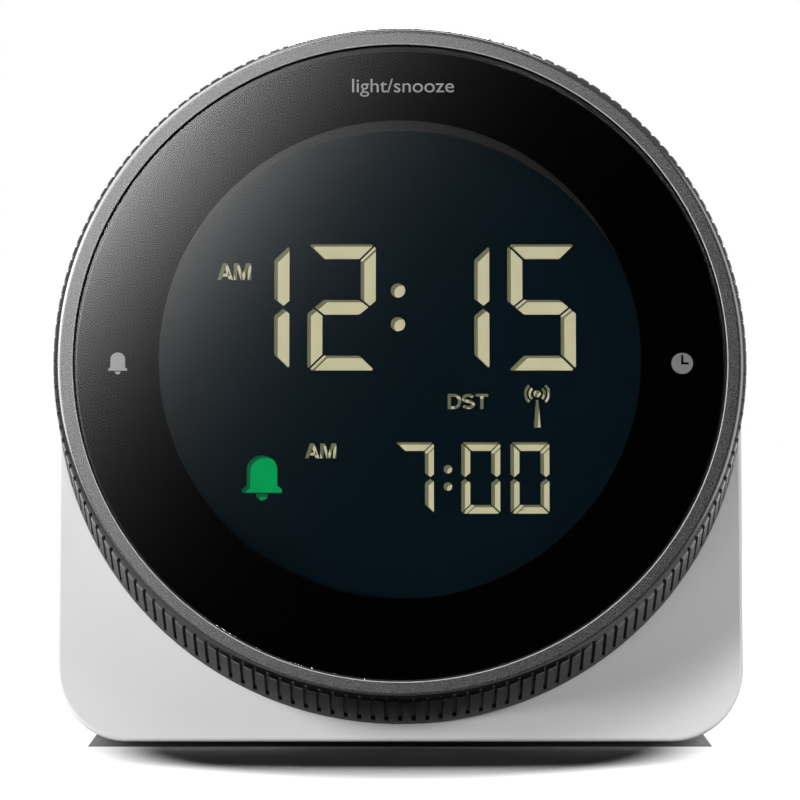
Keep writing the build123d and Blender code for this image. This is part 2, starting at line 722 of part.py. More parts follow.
def side_segment(height, stroke):
    """Upper left bar of a seven-segment digit."""
    cut = stroke * CORNER_CUT_SHARE
    gap = stroke * SEGMENT_GAP_SHARE
    middle = height / 2
    return [
        ((cut - gap) / 2, height - (cut + gap) / 2),
        (stroke, height - stroke - gap),
        (stroke, middle + stroke / 2 + gap),
        (stroke * TIP_SHARE, middle + gap),
        (0, middle + stroke * WAIST_SHARE),
        (0, height - cut),
    ]


def middle_segment(width, height, stroke):
    """Middle bar of a seven-segment digit."""
    gap = stroke * SEGMENT_GAP_SHARE
    middle = height / 2
    tip = stroke * TIP_SHARE + gap
    return [
        (tip, middle),
        (stroke + gap, middle + stroke / 2),
        (width - stroke - gap, middle + stroke / 2),
        (width - tip, middle),
        (width - stroke - gap, middle - stroke / 2),
        (stroke + gap, middle - stroke / 2),
    ]


def digit_segments(figure, width, height, stroke):
    """Outlines of the bars that show a figure, about the digit's middle."""
    top = top_segment(width, height, stroke)
    upper_left = side_segment(height, stroke)
    bars = {
        "top": top,
        "bottom": [(x, height - y) for x, y in top],
        "middle": middle_segment(width, height, stroke),
        "upper_left": upper_left,
        "upper_right": [(width - x, y) for x, y in upper_left],
        "lower_left": [(x, height - y) for x, y in upper_left],
        "lower_right": [(width - x, height - y) for x, y in upper_left],
    }
    lit = {
        "0": ("top", "bottom", "upper_left", "upper_right", "lower_left", "lower_right"),
        "1": ("upper_right", "lower_right"),
        "2": ("top", "upper_right", "middle", "lower_left", "bottom"),
        "5": ("top", "upper_left", "middle", "lower_right", "bottom"),
        "7": ("top", "upper_right", "lower_right"),
    }
    return [[(x - width / 2, y - height / 2) for x, y in bars[name]] for name in lit[figure]]


def make_lcd_segments():
    """Time 12:15 and alarm time 7:00 as thin plates on the front glass."""
    front = glass_front - SEGMENT_THICKNESS
    unit = window_half_width
    time_places = [
        ("1", TIME_HOURS_X_SHARE - TIME_DIGIT_PITCH_SHARE / 2),
        ("2", TIME_HOURS_X_SHARE + TIME_DIGIT_PITCH_SHARE / 2),
        ("1", TIME_MINUTES_X_SHARE - TIME_DIGIT_PITCH_SHARE / 2),
        ("5", TIME_MINUTES_X_SHARE + TIME_DIGIT_PITCH_SHARE / 2),
    ]
    alarm_places = [
        ("7", ALARM_HOUR_X_SHARE),
        ("0", ALARM_MINUTES_X_SHARE - ALARM_DIGIT_PITCH_SHARE / 2),
        ("0", ALARM_MINUTES_X_SHARE + ALARM_DIGIT_PITCH_SHARE / 2),
    ]
    rows = [
        (time_places, TIME_UP_SHARE, TIME_DIGIT_WIDTH_SHARE, TIME_DIGIT_HEIGHT_SHARE, TIME_STROKE_SHARE),
        (alarm_places, ALARM_UP_SHARE, ALARM_DIGIT_WIDTH_SHARE, ALARM_DIGIT_HEIGHT_SHARE, ALARM_STROKE_SHARE),
    ]
    plates = []
    for places, up, width, height, stroke in rows:
        for figure, x in places:
            for outline in digit_segments(figure, unit * width, unit * height, unit * stroke):
                face = make_face(Polyline(*outline, close=True))
                plates.append(Pos(unit * x, unit * up, 0) * face_slab(face, front, glass_front))
    colons = [
        (TIME_COLON_X_SHARE, TIME_UP_SHARE, TIME_COLON_PITCH_SHARE, TIME_DOT_DIAMETER_SHARE),
        (ALARM_COLON_X_SHARE, ALARM_UP_SHARE, ALARM_COLON_PITCH_SHARE, ALARM_DOT_DIAMETER_SHARE),
    ]
    for x, up, pitch, diameter in colons:
        for side in (1, -1):
            dot_up = unit * (up + side * pitch / 2)
            plates.append(face_drum(unit * diameter / 2, front, glass_front, unit * x, dot_up))
    return plates


# Boards


def make_main_board():
    board = face_drum(board_radius, board_front, board_back)
    for degrees in BOARD_SCREW_ANGLES_DEG:
        x, up = polar(board_screw_circle, degrees)
        hole_radius = SCREW_DIAMETER / 2 + SCREW_PASSAGE_CLEARANCE
        board -= face_drum(hole_radius, board_front - OVERRUN, board_back + OVERRUN, x, up)
    return board


def make_board_screws():
    length = BOARD_THICKNESS + BOARD_BOSS_HEIGHT + SCREW_GRIP
    one = screw(SCREW_DIAMETER, SCREW_HEAD_DIAMETER, SCREW_HEAD_HEIGHT, length)
    places = [polar(board_screw_circle, degrees) for degrees in BOARD_SCREW_ANGLES_DEG]
    return [Pos(x, up, -board_front) * one for x, up in places]


def make_switch_bodies():
    bodies = []
    for degrees in SWITCH_ANGLES_DEG:
        front = board_front - SWITCH_HEIGHT
        body = face_block(SWITCH_WIDTH, SWITCH_WIDTH, front, board_front)
        bore_end = front + PLUNGER_ENTRY + PLUNGER_TRAVEL + PLUNGER_CLEARANCE
        body -= face_drum(PLUNGER_DIAMETER / 2 + PLUNGER_CLEARANCE, front - OVERRUN, bore_end)
        bodies.append(Rot(0, 0, degrees) * Pos(post_circle, 0) * body)
    return bodies


def make_plunger(degrees, free_play):
    """Plunger of one switch, a little behind the carrier's post at rest."""
    x, up = polar(post_circle, degrees)
    back = board_front - SWITCH_HEIGHT + PLUNGER_ENTRY
    return face_drum(PLUNGER_DIAMETER / 2, post_end + free_play, back, x, up)


def make_controller_chip():
    """Low dome of resin over the controller, on the back of the board."""
    half = CHIP_DIAMETER / 2
    ball_radius = (half**2 + CHIP_HEIGHT**2) / (2 * CHIP_HEIGHT)
    ball = Pos(0, 0, -board_back - CHIP_HEIGHT + ball_radius) * Sphere(ball_radius)
    dome = ball & face_block(CHIP_DIAMETER, CHIP_DIAMETER, board_back, board_back + CHIP_HEIGHT)
    return Pos(CHIP_X, CHIP_UP, 0) * dome


def make_quartz_crystal():
    return rod_along_x(
        CRYSTAL_DIAMETER / 2, CRYSTAL_LENGTH, CRYSTAL_X, CRYSTAL_UP, board_back + CRYSTAL_DIAMETER / 2
    )


# Housing


def housing_block(inset, front, low_z):
    """Arch-shaped block that leans with the face and is cut level at its base."""
    half = half_width - inset
    reach = 2 * TOTAL_DEPTH + RING_DIAMETER
    arch = Circle(half) + Pos(0, -reach / 2) * Rectangle(2 * half, reach)
    block = on_face(Pos(0, 0, -front) * extrude(arch, -reach))
    block &= world_block(2 * reach, -reach, reach, low_z, reach)
    return fillet(block.edges().filter_by(Axis.Y), HOUSING_CORNER_RADIUS - inset)


def front_slice(block, rear_y):
    """Part of a block in front of a level across the clock."""
    reach = 2 * TOTAL_DEPTH + RING_DIAMETER
    return block & world_block(2 * reach, -reach, rear_y, -reach, reach)


def middle_slice(block, front_y, rear_y):
    """Part of a block between two levels across the clock."""
    reach = 2 * TOTAL_DEPTH + RING_DIAMETER
    return block & world_block(2 * reach, front_y, rear_y, -reach, reach)


def cover_screw_places():
    """Screw places of the rear cover, as x and z."""
    x = half_width - BOSS_SIDE_INSET
    return [(side * x, base_z + raise_) for side in (1, -1) for raise_ in (LOWER_BOSS_RAISE, UPPER_BOSS_RAISE)]


def foot_key(clearance):
    """Raised middle of the foot pad, or the pocket that it sits in."""
    width = 2 * (half_width - HOUSING_CORNER_RADIUS - FOOT_KEY_INSET + clearance)
    front_y = foot_front_y() + FOOT_KEY_INSET - clearance
    rear_y = foot_rear_y() - FOOT_KEY_INSET + clearance
    return world_block(width, front_y, rear_y, base_z - clearance, base_z + FOOT_KEY_DEPTH + clearance)


def foot_front_y():
    """Front edge of the foot pad, behind the housing's lower front edge."""
    up_at_base = (base_z - face_height + housing_front * math.sin(lean)) / math.cos(lean)
    edge_y = face_y + up_at_base * math.sin(lean) + housing_front * math.cos(lean)
    return edge_y + FOOT_FRONT_INSET


def foot_rear_y():
    """Rear edge of the foot pad, in front of the rear cover."""
    return split_y - FOOT_REAR_INSET


def make_foot_pad():
    """Pad with flared ends that follows the rounded underside of the housing."""
    top_half = foot_half_width - FOOT_END_HEIGHT / math.tan(math.radians(FOOT_FLARE_DEG))
    outline = Polyline(
        (-foot_half_width, 0),
        (foot_half_width, 0),
        (top_half, FOOT_END_HEIGHT),
        (-top_half, FOOT_END_HEIGHT),
        close=True,
    )
    across = Plane(origin=(0, foot_front_y(), 0), x_dir=(1, 0, 0), z_dir=(0, -1, 0))
    pad = extrude(across * make_face(outline), foot_front_y() - foot_rear_y())
    return pad - housing_block(0, housing_front, base_z) + foot_key(0)


def make_housing_shell():
    outer = housing_block(0, housing_front, base_z)
    front_face = outer.faces().sort_by(lambda face: (face.normal_at() - FACE.z_dir).length)[0]
    shell = fillet(front_face.outer_wire().edges(), HOUSING_FRONT_ROUND)
    shell = front_slice(shell, split_y)
    shell -= housing_block(HOUSING_WALL, wall_back, base_z + HOUSING_WALL)
    boss_room = front_slice(housing_block(HOUSING_WALL / 2, housing_front + HOUSING_FRONT_WALL / 2, base_z), split_y)
    reach = TOTAL_DEPTH + RING_DIAMETER
    for x, z in cover_screw_places():
        shell += rear_drum(BOSS_DIAMETER / 2, -reach, split_y, x, z) & boss_room
    for x, z in cover_screw_places():
        pilot_front = split_y + COVER_THICKNESS - COVER_HEAD_SINK - COVER_SCREW_LENGTH - PILOT_EXTRA
        pilot_radius = COVER_SCREW_DIAMETER / 2 + SCREW_CLEARANCE
        shell -= rear_drum(pilot_radius, pilot_front, split_y + OVERRUN, x, z)
    standoffs = [
        face_drum(STANDOFF_DIAMETER / 2, wall_back, wall_back + RECEIVER_STANDOFF, x, RECEIVER_UP)
        for x in receiver_standoff_x()
    ]
    for standoff in standoffs:
        shell += on_face(standoff)
    opening = RectangleRounded(WIRE_OPENING_WIDTH, WIRE_OPENING_HEIGHT, WIRE_OPENING_ROUND)
    cut = face_slab(Pos(0, WIRE_OPENING_UP) * opening, housing_front - OVERRUN, wall_back + OVERRUN)
    shell -= on_face(cut)
    for x, up in chassis_screw_places():
        passage_radius = SCREW_DIAMETER / 2 + SCREW_PASSAGE_CLEARANCE
        shell -= on_face(face_drum(passage_radius, housing_front - OVERRUN, wall_back + OVERRUN, x, up))
    return shell - foot_key(0)


# Rear cover, sounder and battery bay


def rounded_panel(width, low_z, high_z, front_y, rear_y, corner_radius):
    """Upright panel with its upper corners rounded."""
    panel = world_block(width, front_y, rear_y, low_z, high_z)
    upper_corners = panel.edges().filter_by(Axis.Y).group_by(Axis.Z)[-1]
    return fillet(upper_corners, corner_radius)


def sound_hole_places():
    """A middle hole with rings of six and twelve around it."""
    places = [(0, 0)]
    for row in range(1, SOUND_HOLE_ROWS + 1):
        count = 6 * row
        places += [polar(row * SOUND_HOLE_PITCH, 360 * index / count) for index in range(count)]
    return places


def contact_tab_places():
    """Height of the two cells, where the left contacts reach through the tray."""
    return [tray_middle + side * cell_rise for side in (1, -1)]


def make_rear_cover():
    outer = front_slice(housing_block(0, housing_front, base_z), back_y)
    rear_face = outer.faces().sort_by(Axis.Y)[-1]
    outer = fillet(rear_face.outer_wire().edges(), COVER_EDGE_ROUND)
    cover = middle_slice(outer, split_y, back_y)
    rim_inset = HOUSING_WALL + COVER_RIM_CLEARANCE
    rim_outer = housing_block(rim_inset, wall_back, base_z + rim_inset)
    rim_inner = housing_block(rim_inset + COVER_RIM_WALL, wall_back, base_z + rim_inset + COVER_RIM_WALL)
    rim = middle_slice(rim_outer - rim_inner, split_y - COVER_RIM_DEPTH, split_y)
    for x, z in cover_screw_places():
        rim -= rear_drum(
            BOSS_DIAMETER / 2 + DOOR_CLEARANCE, split_y - COVER_RIM_DEPTH - OVERRUN, split_y + OVERRUN, x, z
        )
    cover += rim
    outer_length = tray_length + 2 * TRAY_WALL
    cover += world_block(
        outer_length, tray_front_y - TRAY_WALL, split_y, tray_bottom - TRAY_WALL, tray_top + TRAY_WALL
    )
    cover += rear_drum(sounder_rim_radius, sounder_y - SOUNDER_RIM_HEIGHT, split_y, 0, sounder_z)
    cover -= rear_drum(
        sounder_radius + SOUNDER_CLEARANCE, sounder_y - SOUNDER_RIM_HEIGHT - OVERRUN, sounder_y, 0, sounder_z
    )
    cover -= rear_drum(sounder_radius - SOUNDER_LEDGE, sounder_y - OVERRUN, split_y, 0, sounder_z)
    for x, up in sound_hole_places():
        cover -= rear_drum(SOUND_HOLE_DIAMETER / 2, split_y - OVERRUN, back_y + OVERRUN, x, sounder_z + up)
    cover -= world_block(tray_length, tray_front_y, back_y + OVERRUN, tray_bottom, tray_top)
    recess_corner = DOOR_CORNER_RADIUS + DOOR_CLEARANCE
    cover -= rounded_panel(
        opening_width, tray_bottom - DOOR_LEDGE, tray_top + DOOR_LEDGE, door_seat_y, back_y + OVERRUN, recess_corner
    )
    trunnion_bore = TRUNNION_DIAMETER / 2 + TRUNNION_CLEARANCE
    bore_length = door_width + 2 * (TRUNNION_LENGTH + TRUNNION_END_GAP)
    cover -= Pos(0, hinge_y, hinge_z) * Rot(0, 90, 0) * Cylinder(trunnion_bore, bore_length)
    cover -= rear_drum(
        FINGER_NOTCH_WIDTH / 2, back_y - FINGER_NOTCH_DEPTH, back_y + OVERRUN, 0, tray_top + DOOR_LEDGE
    )
    for z in contact_tab_places():
        slot_height = CONTACT_TAB_HEIGHT + 2 * CONTACT_SLOT_CLEARANCE
        slot_width = CONTACT_THICKNESS + CONTACT_SLOT_CLEARANCE
        cover -= world_block(
            slot_width,
            tray_front_y - TRAY_WALL - OVERRUN,
            tray_front_y + OVERRUN,
            z - slot_height / 2,
            z + slot_height / 2,
            -tray_length / 2 + slot_width / 2,
        )
    for x, z in cover_screw_places():
        passage_radius = COVER_SCREW_DIAMETER / 2 + SCREW_PASSAGE_CLEARANCE
        head_radius = COVER_SCREW_HEAD_DIAMETER / 2 + SCREW_PASSAGE_CLEARANCE
        cover -= rear_drum(passage_radius, split_y - COVER_RIM_DEPTH - OVERRUN, back_y + OVERRUN, x, z)
        cover -= rear_drum(head_radius, back_y - COVER_HEAD_SINK, back_y + OVERRUN, x, z)
    return cover


def make_cover_screws():
    one = screw(COVER_SCREW_DIAMETER, COVER_SCREW_HEAD_DIAMETER, COVER_SCREW_HEAD_HEIGHT, COVER_SCREW_LENGTH)
    facing_back = Rot(-90, 0, 0) * one
    return [Pos(x, back_y - COVER_HEAD_SINK, z) * facing_back for x, z in cover_screw_places()]


def make_sounder_disc():
    return rear_drum(sounder_radius, sounder_y - SOUNDER_THICKNESS, sounder_y, 0, sounder_z)


def make_sounder_ceramic():
    rear_y = sounder_y - SOUNDER_THICKNESS
    return rear_drum(SOUNDER_CERAMIC_DIAMETER / 2, rear_y - SOUNDER_CERAMIC_THICKNESS, rear_y, 0, sounder_z)


def make_battery_door():
    """Door with a round lower edge that turns on two trunnions."""
    panel = rounded_panel(door_width, hinge_z, door_top, back_y - DOOR_THICKNESS, back_y, DOOR_CORNER_RADIUS)
    along_x = Pos(0, hinge_y, hinge_z) * Rot(0, 90, 0)
    door = panel + along_x * Cylinder(DOOR_THICKNESS / 2, door_width)
    return door + along_x * Cylinder(TRUNNION_DIAMETER / 2, door_width + 2 * TRUNNION_LENGTH)


def make_battery_cells():
    """Two cells lying opposite ways, each with its nub against a contact."""
    cells = []
    body_length = CELL_LENGTH - CELL_NUB_HEIGHT
    can = Cylinder(CELL_DIAMETER / 2, body_length, align=CENTRE_MIN)
    can = fillet(can.edges().filter_by(GeomType.CIRCLE), CELL_EDGE_ROUND)
    cell = can + Pos(0, 0, body_length) * Cylinder(CELL_NUB_DIAMETER / 2, CELL_NUB_HEIGHT, align=CENTRE_MIN)
    for side, z in zip((1, -1), contact_tab_places()):
        nub_x = -side * (tray_length / 2 - CONTACT_THICKNESS)
        foot_x = nub_x + side * CELL_LENGTH
        cells.append(Pos(foot_x, cell_y, z) * Rot(0, -90 * side, 0) * cell)
    return cells


def make_battery_springs():
    """Open loops of spring strip behind the flat end of each cell."""
    springs = []
    radius = CELL_SPRING_GAP / 2
    loop = Cylinder(radius, LEAF_WIDTH) - Cylinder(radius - LEAF_THICKNESS, LEAF_WIDTH + OVERRUN)
    slit_height = CELL_SPRING_GAP * LEAF_SLIT_SHARE
    loop -= Pos(0, radius) * Box(slit_height, CELL_SPRING_GAP / 2, LEAF_WIDTH + OVERRUN)
    for side, z in zip((1, -1), contact_tab_places()):
        x = side * (tray_length / 2 - CONTACT_THICKNESS - radius)
        springs.append(Pos(x, cell_y, z) * loop)
    return springs


def make_battery_contacts():
    """A joined plate at the right end of the bay and two plates with tabs at the left end."""
    plate_x = tray_length / 2 - CONTACT_THICKNESS / 2
    front_y = cell_y - CONTACT_WIDTH / 2
    rear_y = cell_y + CONTACT_WIDTH / 2
    upper, lower = contact_tab_places()
    joined = world_block(
        CONTACT_THICKNESS, front_y, rear_y, lower - CONTACT_WIDTH / 2, upper + CONTACT_WIDTH / 2, plate_x
    )
    plates = [joined]
    for z in (upper, lower):
        plate = world_block(CONTACT_THICKNESS, front_y, rear_y, z - CONTACT_WIDTH / 2, z + CONTACT_WIDTH / 2, -plate_x)
        tab_front_y = tray_front_y - TRAY_WALL - CONTACT_TAB
        tab_half = CONTACT_TAB_HEIGHT / 2
        plate += world_block(CONTACT_THICKNESS, tab_front_y, cell_y, z - tab_half, z + tab_half, -plate_x)
        plates.append(plate)
    return plates


# Radio receiver


def make_ferrite_rod():
    return rod_along_x(ROD_DIAMETER / 2, rod_length, 0, ROD_UP, rod_depth)


def make_antenna_coil():
    coil = rod_along_x(COIL_DIAMETER / 2, coil_length, 0, ROD_UP, rod_depth)
    return coil - rod_along_x(ROD_DIAMETER / 2 + COIL_CLEARANCE, coil_length + OVERRUN, 0, ROD_UP, rod_depth)


def make_antenna_clips():
    clips = []
    for side in (1, -1):
        clip_back = rod_depth + ROD_DIAMETER / 2 + CLIP_BACK_WALL
        clip = face_block(CLIP_WIDTH, CLIP_HEIGHT, wall_back, clip_back, side * clip_x, ROD_UP)
        hole = rod_along_x(
            ROD_DIAMETER / 2 + CLIP_CLEARANCE, CLIP_WIDTH + OVERRUN, side * clip_x, ROD_UP, rod_depth
        )
        clips.append(clip - hole)
    return clips


def receiver_standoff_x():
    """Places of the two stand-offs under the receiver board."""
    reach = RECEIVER_WIDTH / 2 - STANDOFF_INSET
    return [RECEIVER_X + side * reach for side in (1, -1)]


def make_receiver_board():
    front = wall_back + RECEIVER_STANDOFF
    return face_block(RECEIVER_WIDTH, RECEIVER_HEIGHT, front, front + BOARD_THICKNESS, RECEIVER_X, RECEIVER_UP)


def make_receiver_chip():
    front = wall_back + RECEIVER_STANDOFF + BOARD_THICKNESS
    return face_block(
        RECEIVER_CHIP_WIDTH, RECEIVER_CHIP_WIDTH, front, front + RECEIVER_CHIP_HEIGHT, RECEIVER_X, RECEIVER_UP
    )


# Leads


def lead(points):
    """Round lead along straight runs joined by arcs as large as the runs allow."""
    radii = []
    places = [Vector(*point) for point in points]
    for before, corner, after in zip(places, places[1:], places[2:]):
        turn = math.radians((corner - before).get_angle(after - corner))
        shorter = min((corner - before).length, (after - corner).length)
        radii.append(LEAD_BEND_SHARE * shorter / math.tan(turn / 2))
    path = FilletPolyline(*places, radius=radii)
    start = Plane(origin=path @ 0, z_dir=path % 0)
    return sweep(start * Circle(LEAD_DIAMETER / 2), path=path)


def board_arrival(x, up):
    """Last straight run of a lead, square to the back of the main board."""
    far = FACE.from_local_coords((x, up, -wall_back - LEAD_STRAIGHT))
    near = FACE.from_local_coords((x, up, -board_back))
    return [far, near]


def make_battery_leads():
    leads = []
    x = -tray_length / 2 + CONTACT_THICKNESS / 2
    for z, arrival_x, arrival_up in zip(contact_tab_places(), BATTERY_LEAD_X, BATTERY_LEAD_UP):
        tab_y = tray_front_y - TRAY_WALL - CONTACT_TAB
        start = [(x, tab_y, z), (x, tab_y - LEAD_STRAIGHT, z)]
        leads.append(lead(start + board_arrival(arrival_x, arrival_up)))
    return leads


def make_sounder_leads():
    leads = []
    for start_x, arrival_x in zip(SOUNDER_LEAD_START_X, SOUNDER_LEAD_X):
        z = sounder_z - SOUNDER_LEAD_DROP
        start_y = sounder_y - SOUNDER_THICKNESS - SOUNDER_CERAMIC_THICKNESS
        start = [(start_x, start_y, z), (start_x, start_y - LEAD_STRAIGHT, z)]
        leads.append(lead(start + board_arrival(arrival_x, SOUNDER_LEAD_UP)))
    return leads


FACE_PIECES = {
    "bezel_ring": make_bezel_ring(),
    "bezel_gear": make_bezel_gear(),
    "encoder_pinion": make_encoder_pinion(),
    "encoder_shaft": make_encoder_shaft(),
    "encoder_body": make_encoder_body(),
    "lens": make_lens(),
    "lens_mask": make_lens_mask(),
    "lens_carrier": make_lens_carrier(),
    "carrier_pins": make_carrier_pins(),
    "press_frame": make_press_frame(),
    "hinge_pin": make_hinge_pin(),
    "front_chassis": make_front_chassis(),
    "chassis_screws": make_chassis_screws(),
    "lcd_holder": make_lcd_holder(),
    "lcd_front_glass": make_lcd_front_glass(),
    "lcd_rear_glass": make_lcd_rear_glass(),
    "lcd_segments": make_lcd_segments(),
    "contact_strips": make_contact_strips(),
    "light_guide": make_light_guide(),
    "reflector_sheet": make_reflector_sheet(),
    "backlight_leds": make_backlight_leds(),
    "main_board": make_main_board(),
    "board_screws": make_board_screws(),
    "switch_bodies": make_switch_bodies(),
    "snooze_plunger": make_plunger(SWITCH_ANGLES_DEG[0], SNOOZE_FREE_PLAY),
    "alarm_plunger": make_plunger(SWITCH_ANGLES_DEG[1], SIDE_FREE_PLAY),
    "time_plunger": make_plunger(SWITCH_ANGLES_DEG[2], SIDE_FREE_PLAY),
    "controller_chip": make_controller_chip(),
    "quartz_crystal": make_quartz_crystal(),
    "ferrite_rod": make_ferrite_rod(),
    "antenna_coil": make_antenna_coil(),
    "antenna_clips": make_antenna_clips(),
    "receiver_board": make_receiver_board(),
    "receiver_chip": make_receiver_chip(),
}
BODY_PIECES = {
    "housing_shell": make_housing_shell(),
    "foot_pad": make_foot_pad(),
    "rear_cover": make_rear_cover(),
    "cover_screws": make_cover_screws(),
    "sounder_disc": make_sounder_disc(),
    "sounder_ceramic": make_sounder_ceramic(),
    "battery_door": make_battery_door(),
    "battery_cells": make_battery_cells(),
    "battery_springs": make_battery_springs(),
    "battery_contacts": make_battery_contacts(),
    "battery_leads": make_battery_leads(),
    "sounder_leads": make_sounder_leads(),
}


def as_list(piece):
    """A piece or a list of pieces, as a list."""
    return piece if isinstance(piece, list) else [piece]


os.makedirs("parts", exist_ok=True)
placed = {name: [on_face(piece) for piece in as_list(pieces)] for name, pieces in FACE_PIECES.items()}
placed.update({name: as_list(pieces) for name, pieces in BODY_PIECES.items()})
for name, pieces in placed.items():
    solids = [solid for piece in pieces for solid in piece.solids()]
    shape = solids[0] if len(solids) == 1 else Compound(solids)
    export_step(shape, f"parts/{name}.step")
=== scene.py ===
"""Looks of the bedside clock: materials, display, prints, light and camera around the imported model."""

import json
import math

import bmesh
import bpy
from mathutils import Matrix, Vector


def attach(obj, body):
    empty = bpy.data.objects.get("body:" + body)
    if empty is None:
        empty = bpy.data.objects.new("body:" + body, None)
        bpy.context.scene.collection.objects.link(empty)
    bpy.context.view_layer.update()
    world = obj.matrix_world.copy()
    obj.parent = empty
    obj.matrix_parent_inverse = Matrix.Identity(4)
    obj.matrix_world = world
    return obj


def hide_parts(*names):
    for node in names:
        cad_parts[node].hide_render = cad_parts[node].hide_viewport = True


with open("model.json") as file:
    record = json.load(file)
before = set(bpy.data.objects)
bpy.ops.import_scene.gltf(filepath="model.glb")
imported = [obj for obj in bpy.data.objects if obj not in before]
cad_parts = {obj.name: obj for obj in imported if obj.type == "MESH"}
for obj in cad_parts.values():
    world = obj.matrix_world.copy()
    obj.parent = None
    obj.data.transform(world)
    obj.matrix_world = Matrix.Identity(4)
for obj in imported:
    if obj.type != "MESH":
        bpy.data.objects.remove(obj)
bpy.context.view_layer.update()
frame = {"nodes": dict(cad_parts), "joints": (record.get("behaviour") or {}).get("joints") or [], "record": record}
nodes = frame["nodes"]
scene = bpy.context.scene
MM = 0.001

# The face's own frame, from the joint on which the ring turns: x to the right, y up the face, z out of it
ring_joint = next(joint for joint in frame["joints"] if joint["name"] == "bezel_turn")
face_centre = Vector(ring_joint["pos_m"])
face_out = Vector(ring_joint["axis"]).normalized()
face_right = Vector((1.0, 0.0, 0.0))
face_up = face_out.cross(face_right)


def frame_of(centre, right, up, out):
    """Matrix of a frame with that centre and those axes."""
    return Matrix.Translation(centre) @ Matrix((right, up, out)).transposed().to_4x4()


FACE = frame_of(face_centre, face_right, face_up, face_out)
TO_FACE = FACE.inverted()


def face_span(node):
    """Lowest and highest corner of a node in the face's frame, in metres."""
    places = [TO_FACE @ vertex.co for vertex in nodes[node].data.vertices]
    low = Vector([min(place[axis] for place in places) for axis in range(3)])
    high = Vector([max(place[axis] for place in places) for axis in range(3)])
    return low, high


# Materials
NOISE_LOW = 0.3
NOISE_HIGH = 0.7
BROAD_SHARE = 0.01


def new_material(name):
    """Material with a principled shader, as (material, tree, shader)."""
    made = bpy.data.materials.new(name)
    made.use_nodes = True
    return made, made.node_tree, made.node_tree.nodes["Principled BSDF"]


def add_node(tree, kind, **values):
    """Node with its sockets and properties set by name."""
    made = tree.nodes.new(kind)
    for key, value in values.items():
        socket = key.replace("_", " ").title()
        if socket in made.inputs:
            made.inputs[socket].default_value = value
        else:
            setattr(made, key, value)
    return made


def object_noise(tree, scale, detail, stretch):
    """Noise fixed to the piece, with its scale given per metre."""
    place = add_node(tree, "ShaderNodeTexCoord")
    mapping = add_node(tree, "ShaderNodeMapping", scale=stretch)
    noise = add_node(tree, "ShaderNodeTexNoise", scale=scale, detail=detail)
    tree.links.new(place.outputs["Object"], mapping.inputs["Vector"])
    tree.links.new(mapping.outputs["Vector"], noise.inputs["Vector"])
    return noise.outputs["Fac"]


def spread(tree, source, low, high):
    """Value between low and high that follows a noise."""
    made = add_node(tree, "ShaderNodeMapRange", from_min=NOISE_LOW, from_max=NOISE_HIGH,
                    to_min=low, to_max=high)
    tree.links.new(source, made.inputs["Value"])
    return made.outputs["Result"]


def drifting_colour(tree, source, colour, share):
    """Colour that drifts by a share around its own value."""
    made = add_node(tree, "ShaderNodeMix", data_type="RGBA")
    low, high = [socket for socket in made.inputs if socket.type == "RGBA"]
    low.default_value = (*(part * (1 - share) for part in colour), 1.0)
    high.default_value = (*(part * (1 + share) for part in colour), 1.0)
    tree.links.new(spread(tree, source, 0.0, 1.0), made.inputs["Factor"])
    return next(socket for socket in made.outputs if socket.type == "RGBA")


def surfaced(name, colour, roughness, grain, depth, drift=0.04, gloss_drift=0.05, metallic=0.0, specular=0.5,
             stretch=(1.0, 1.0, 1.0), detail=2.0):
    """Surface with a grain of its own size and depth, and a slight drift in colour and gloss."""
    made, tree, shader = new_material(name)
    fine = object_noise(tree, 1 / grain, detail, stretch)
    broad = object_noise(tree, BROAD_SHARE / grain, detail, stretch)
    shader.inputs["Metallic"].default_value = metallic
    shader.inputs["Specular IOR Level"].default_value = specular
    tree.links.new(drifting_colour(tree, broad, colour, drift), shader.inputs["Base Color"])
    gloss = spread(tree, fine, roughness - gloss_drift, roughness + gloss_drift)
    tree.links.new(gloss, shader.inputs["Roughness"])
    bump = add_node(tree, "ShaderNodeBump", strength=1.0, distance=depth)
    tree.links.new(fine, bump.inputs["Height"])
    tree.links.new(bump.outputs["Normal"], shader.inputs["Normal"])
    return made


ACRYLIC = (0.97, 0.98, 0.98, 1.0)
ACRYLIC_IOR = 1.49


def clear_lens(name):
    """Clear acrylic that lets light through to the display without a shadow."""
    made, tree, shader = new_material(name)
    shader.inputs["Base Color"].default_value = ACRYLIC
    shader.inputs["Roughness"].default_value = 0.0
    shader.inputs["IOR"].default_value = ACRYLIC_IOR
    shader.inputs["Transmission Weight"].default_value = 1.0
    path = add_node(tree, "ShaderNodeLightPath")
    through = add_node(tree, "ShaderNodeBsdfTransparent")
    mix = add_node(tree, "ShaderNodeMixShader")
    light_ray = add_node(tree, "ShaderNodeMath", operation="MAXIMUM")
    tree.links.new(path.outputs["Is Shadow Ray"], light_ray.inputs[0])
    tree.links.new(path.outputs["Is Diffuse Ray"], light_ray.inputs[1])
    tree.links.new(light_ray.outputs["Value"], mix.inputs["Fac"])
    tree.links.new(shader.outputs["BSDF"], mix.inputs[1])
    tree.links.new(through.outputs["BSDF"], mix.inputs[2])
    tree.links.new(mix.outputs["Shader"], tree.nodes["Material Output"].inputs["Surface"])
    return made


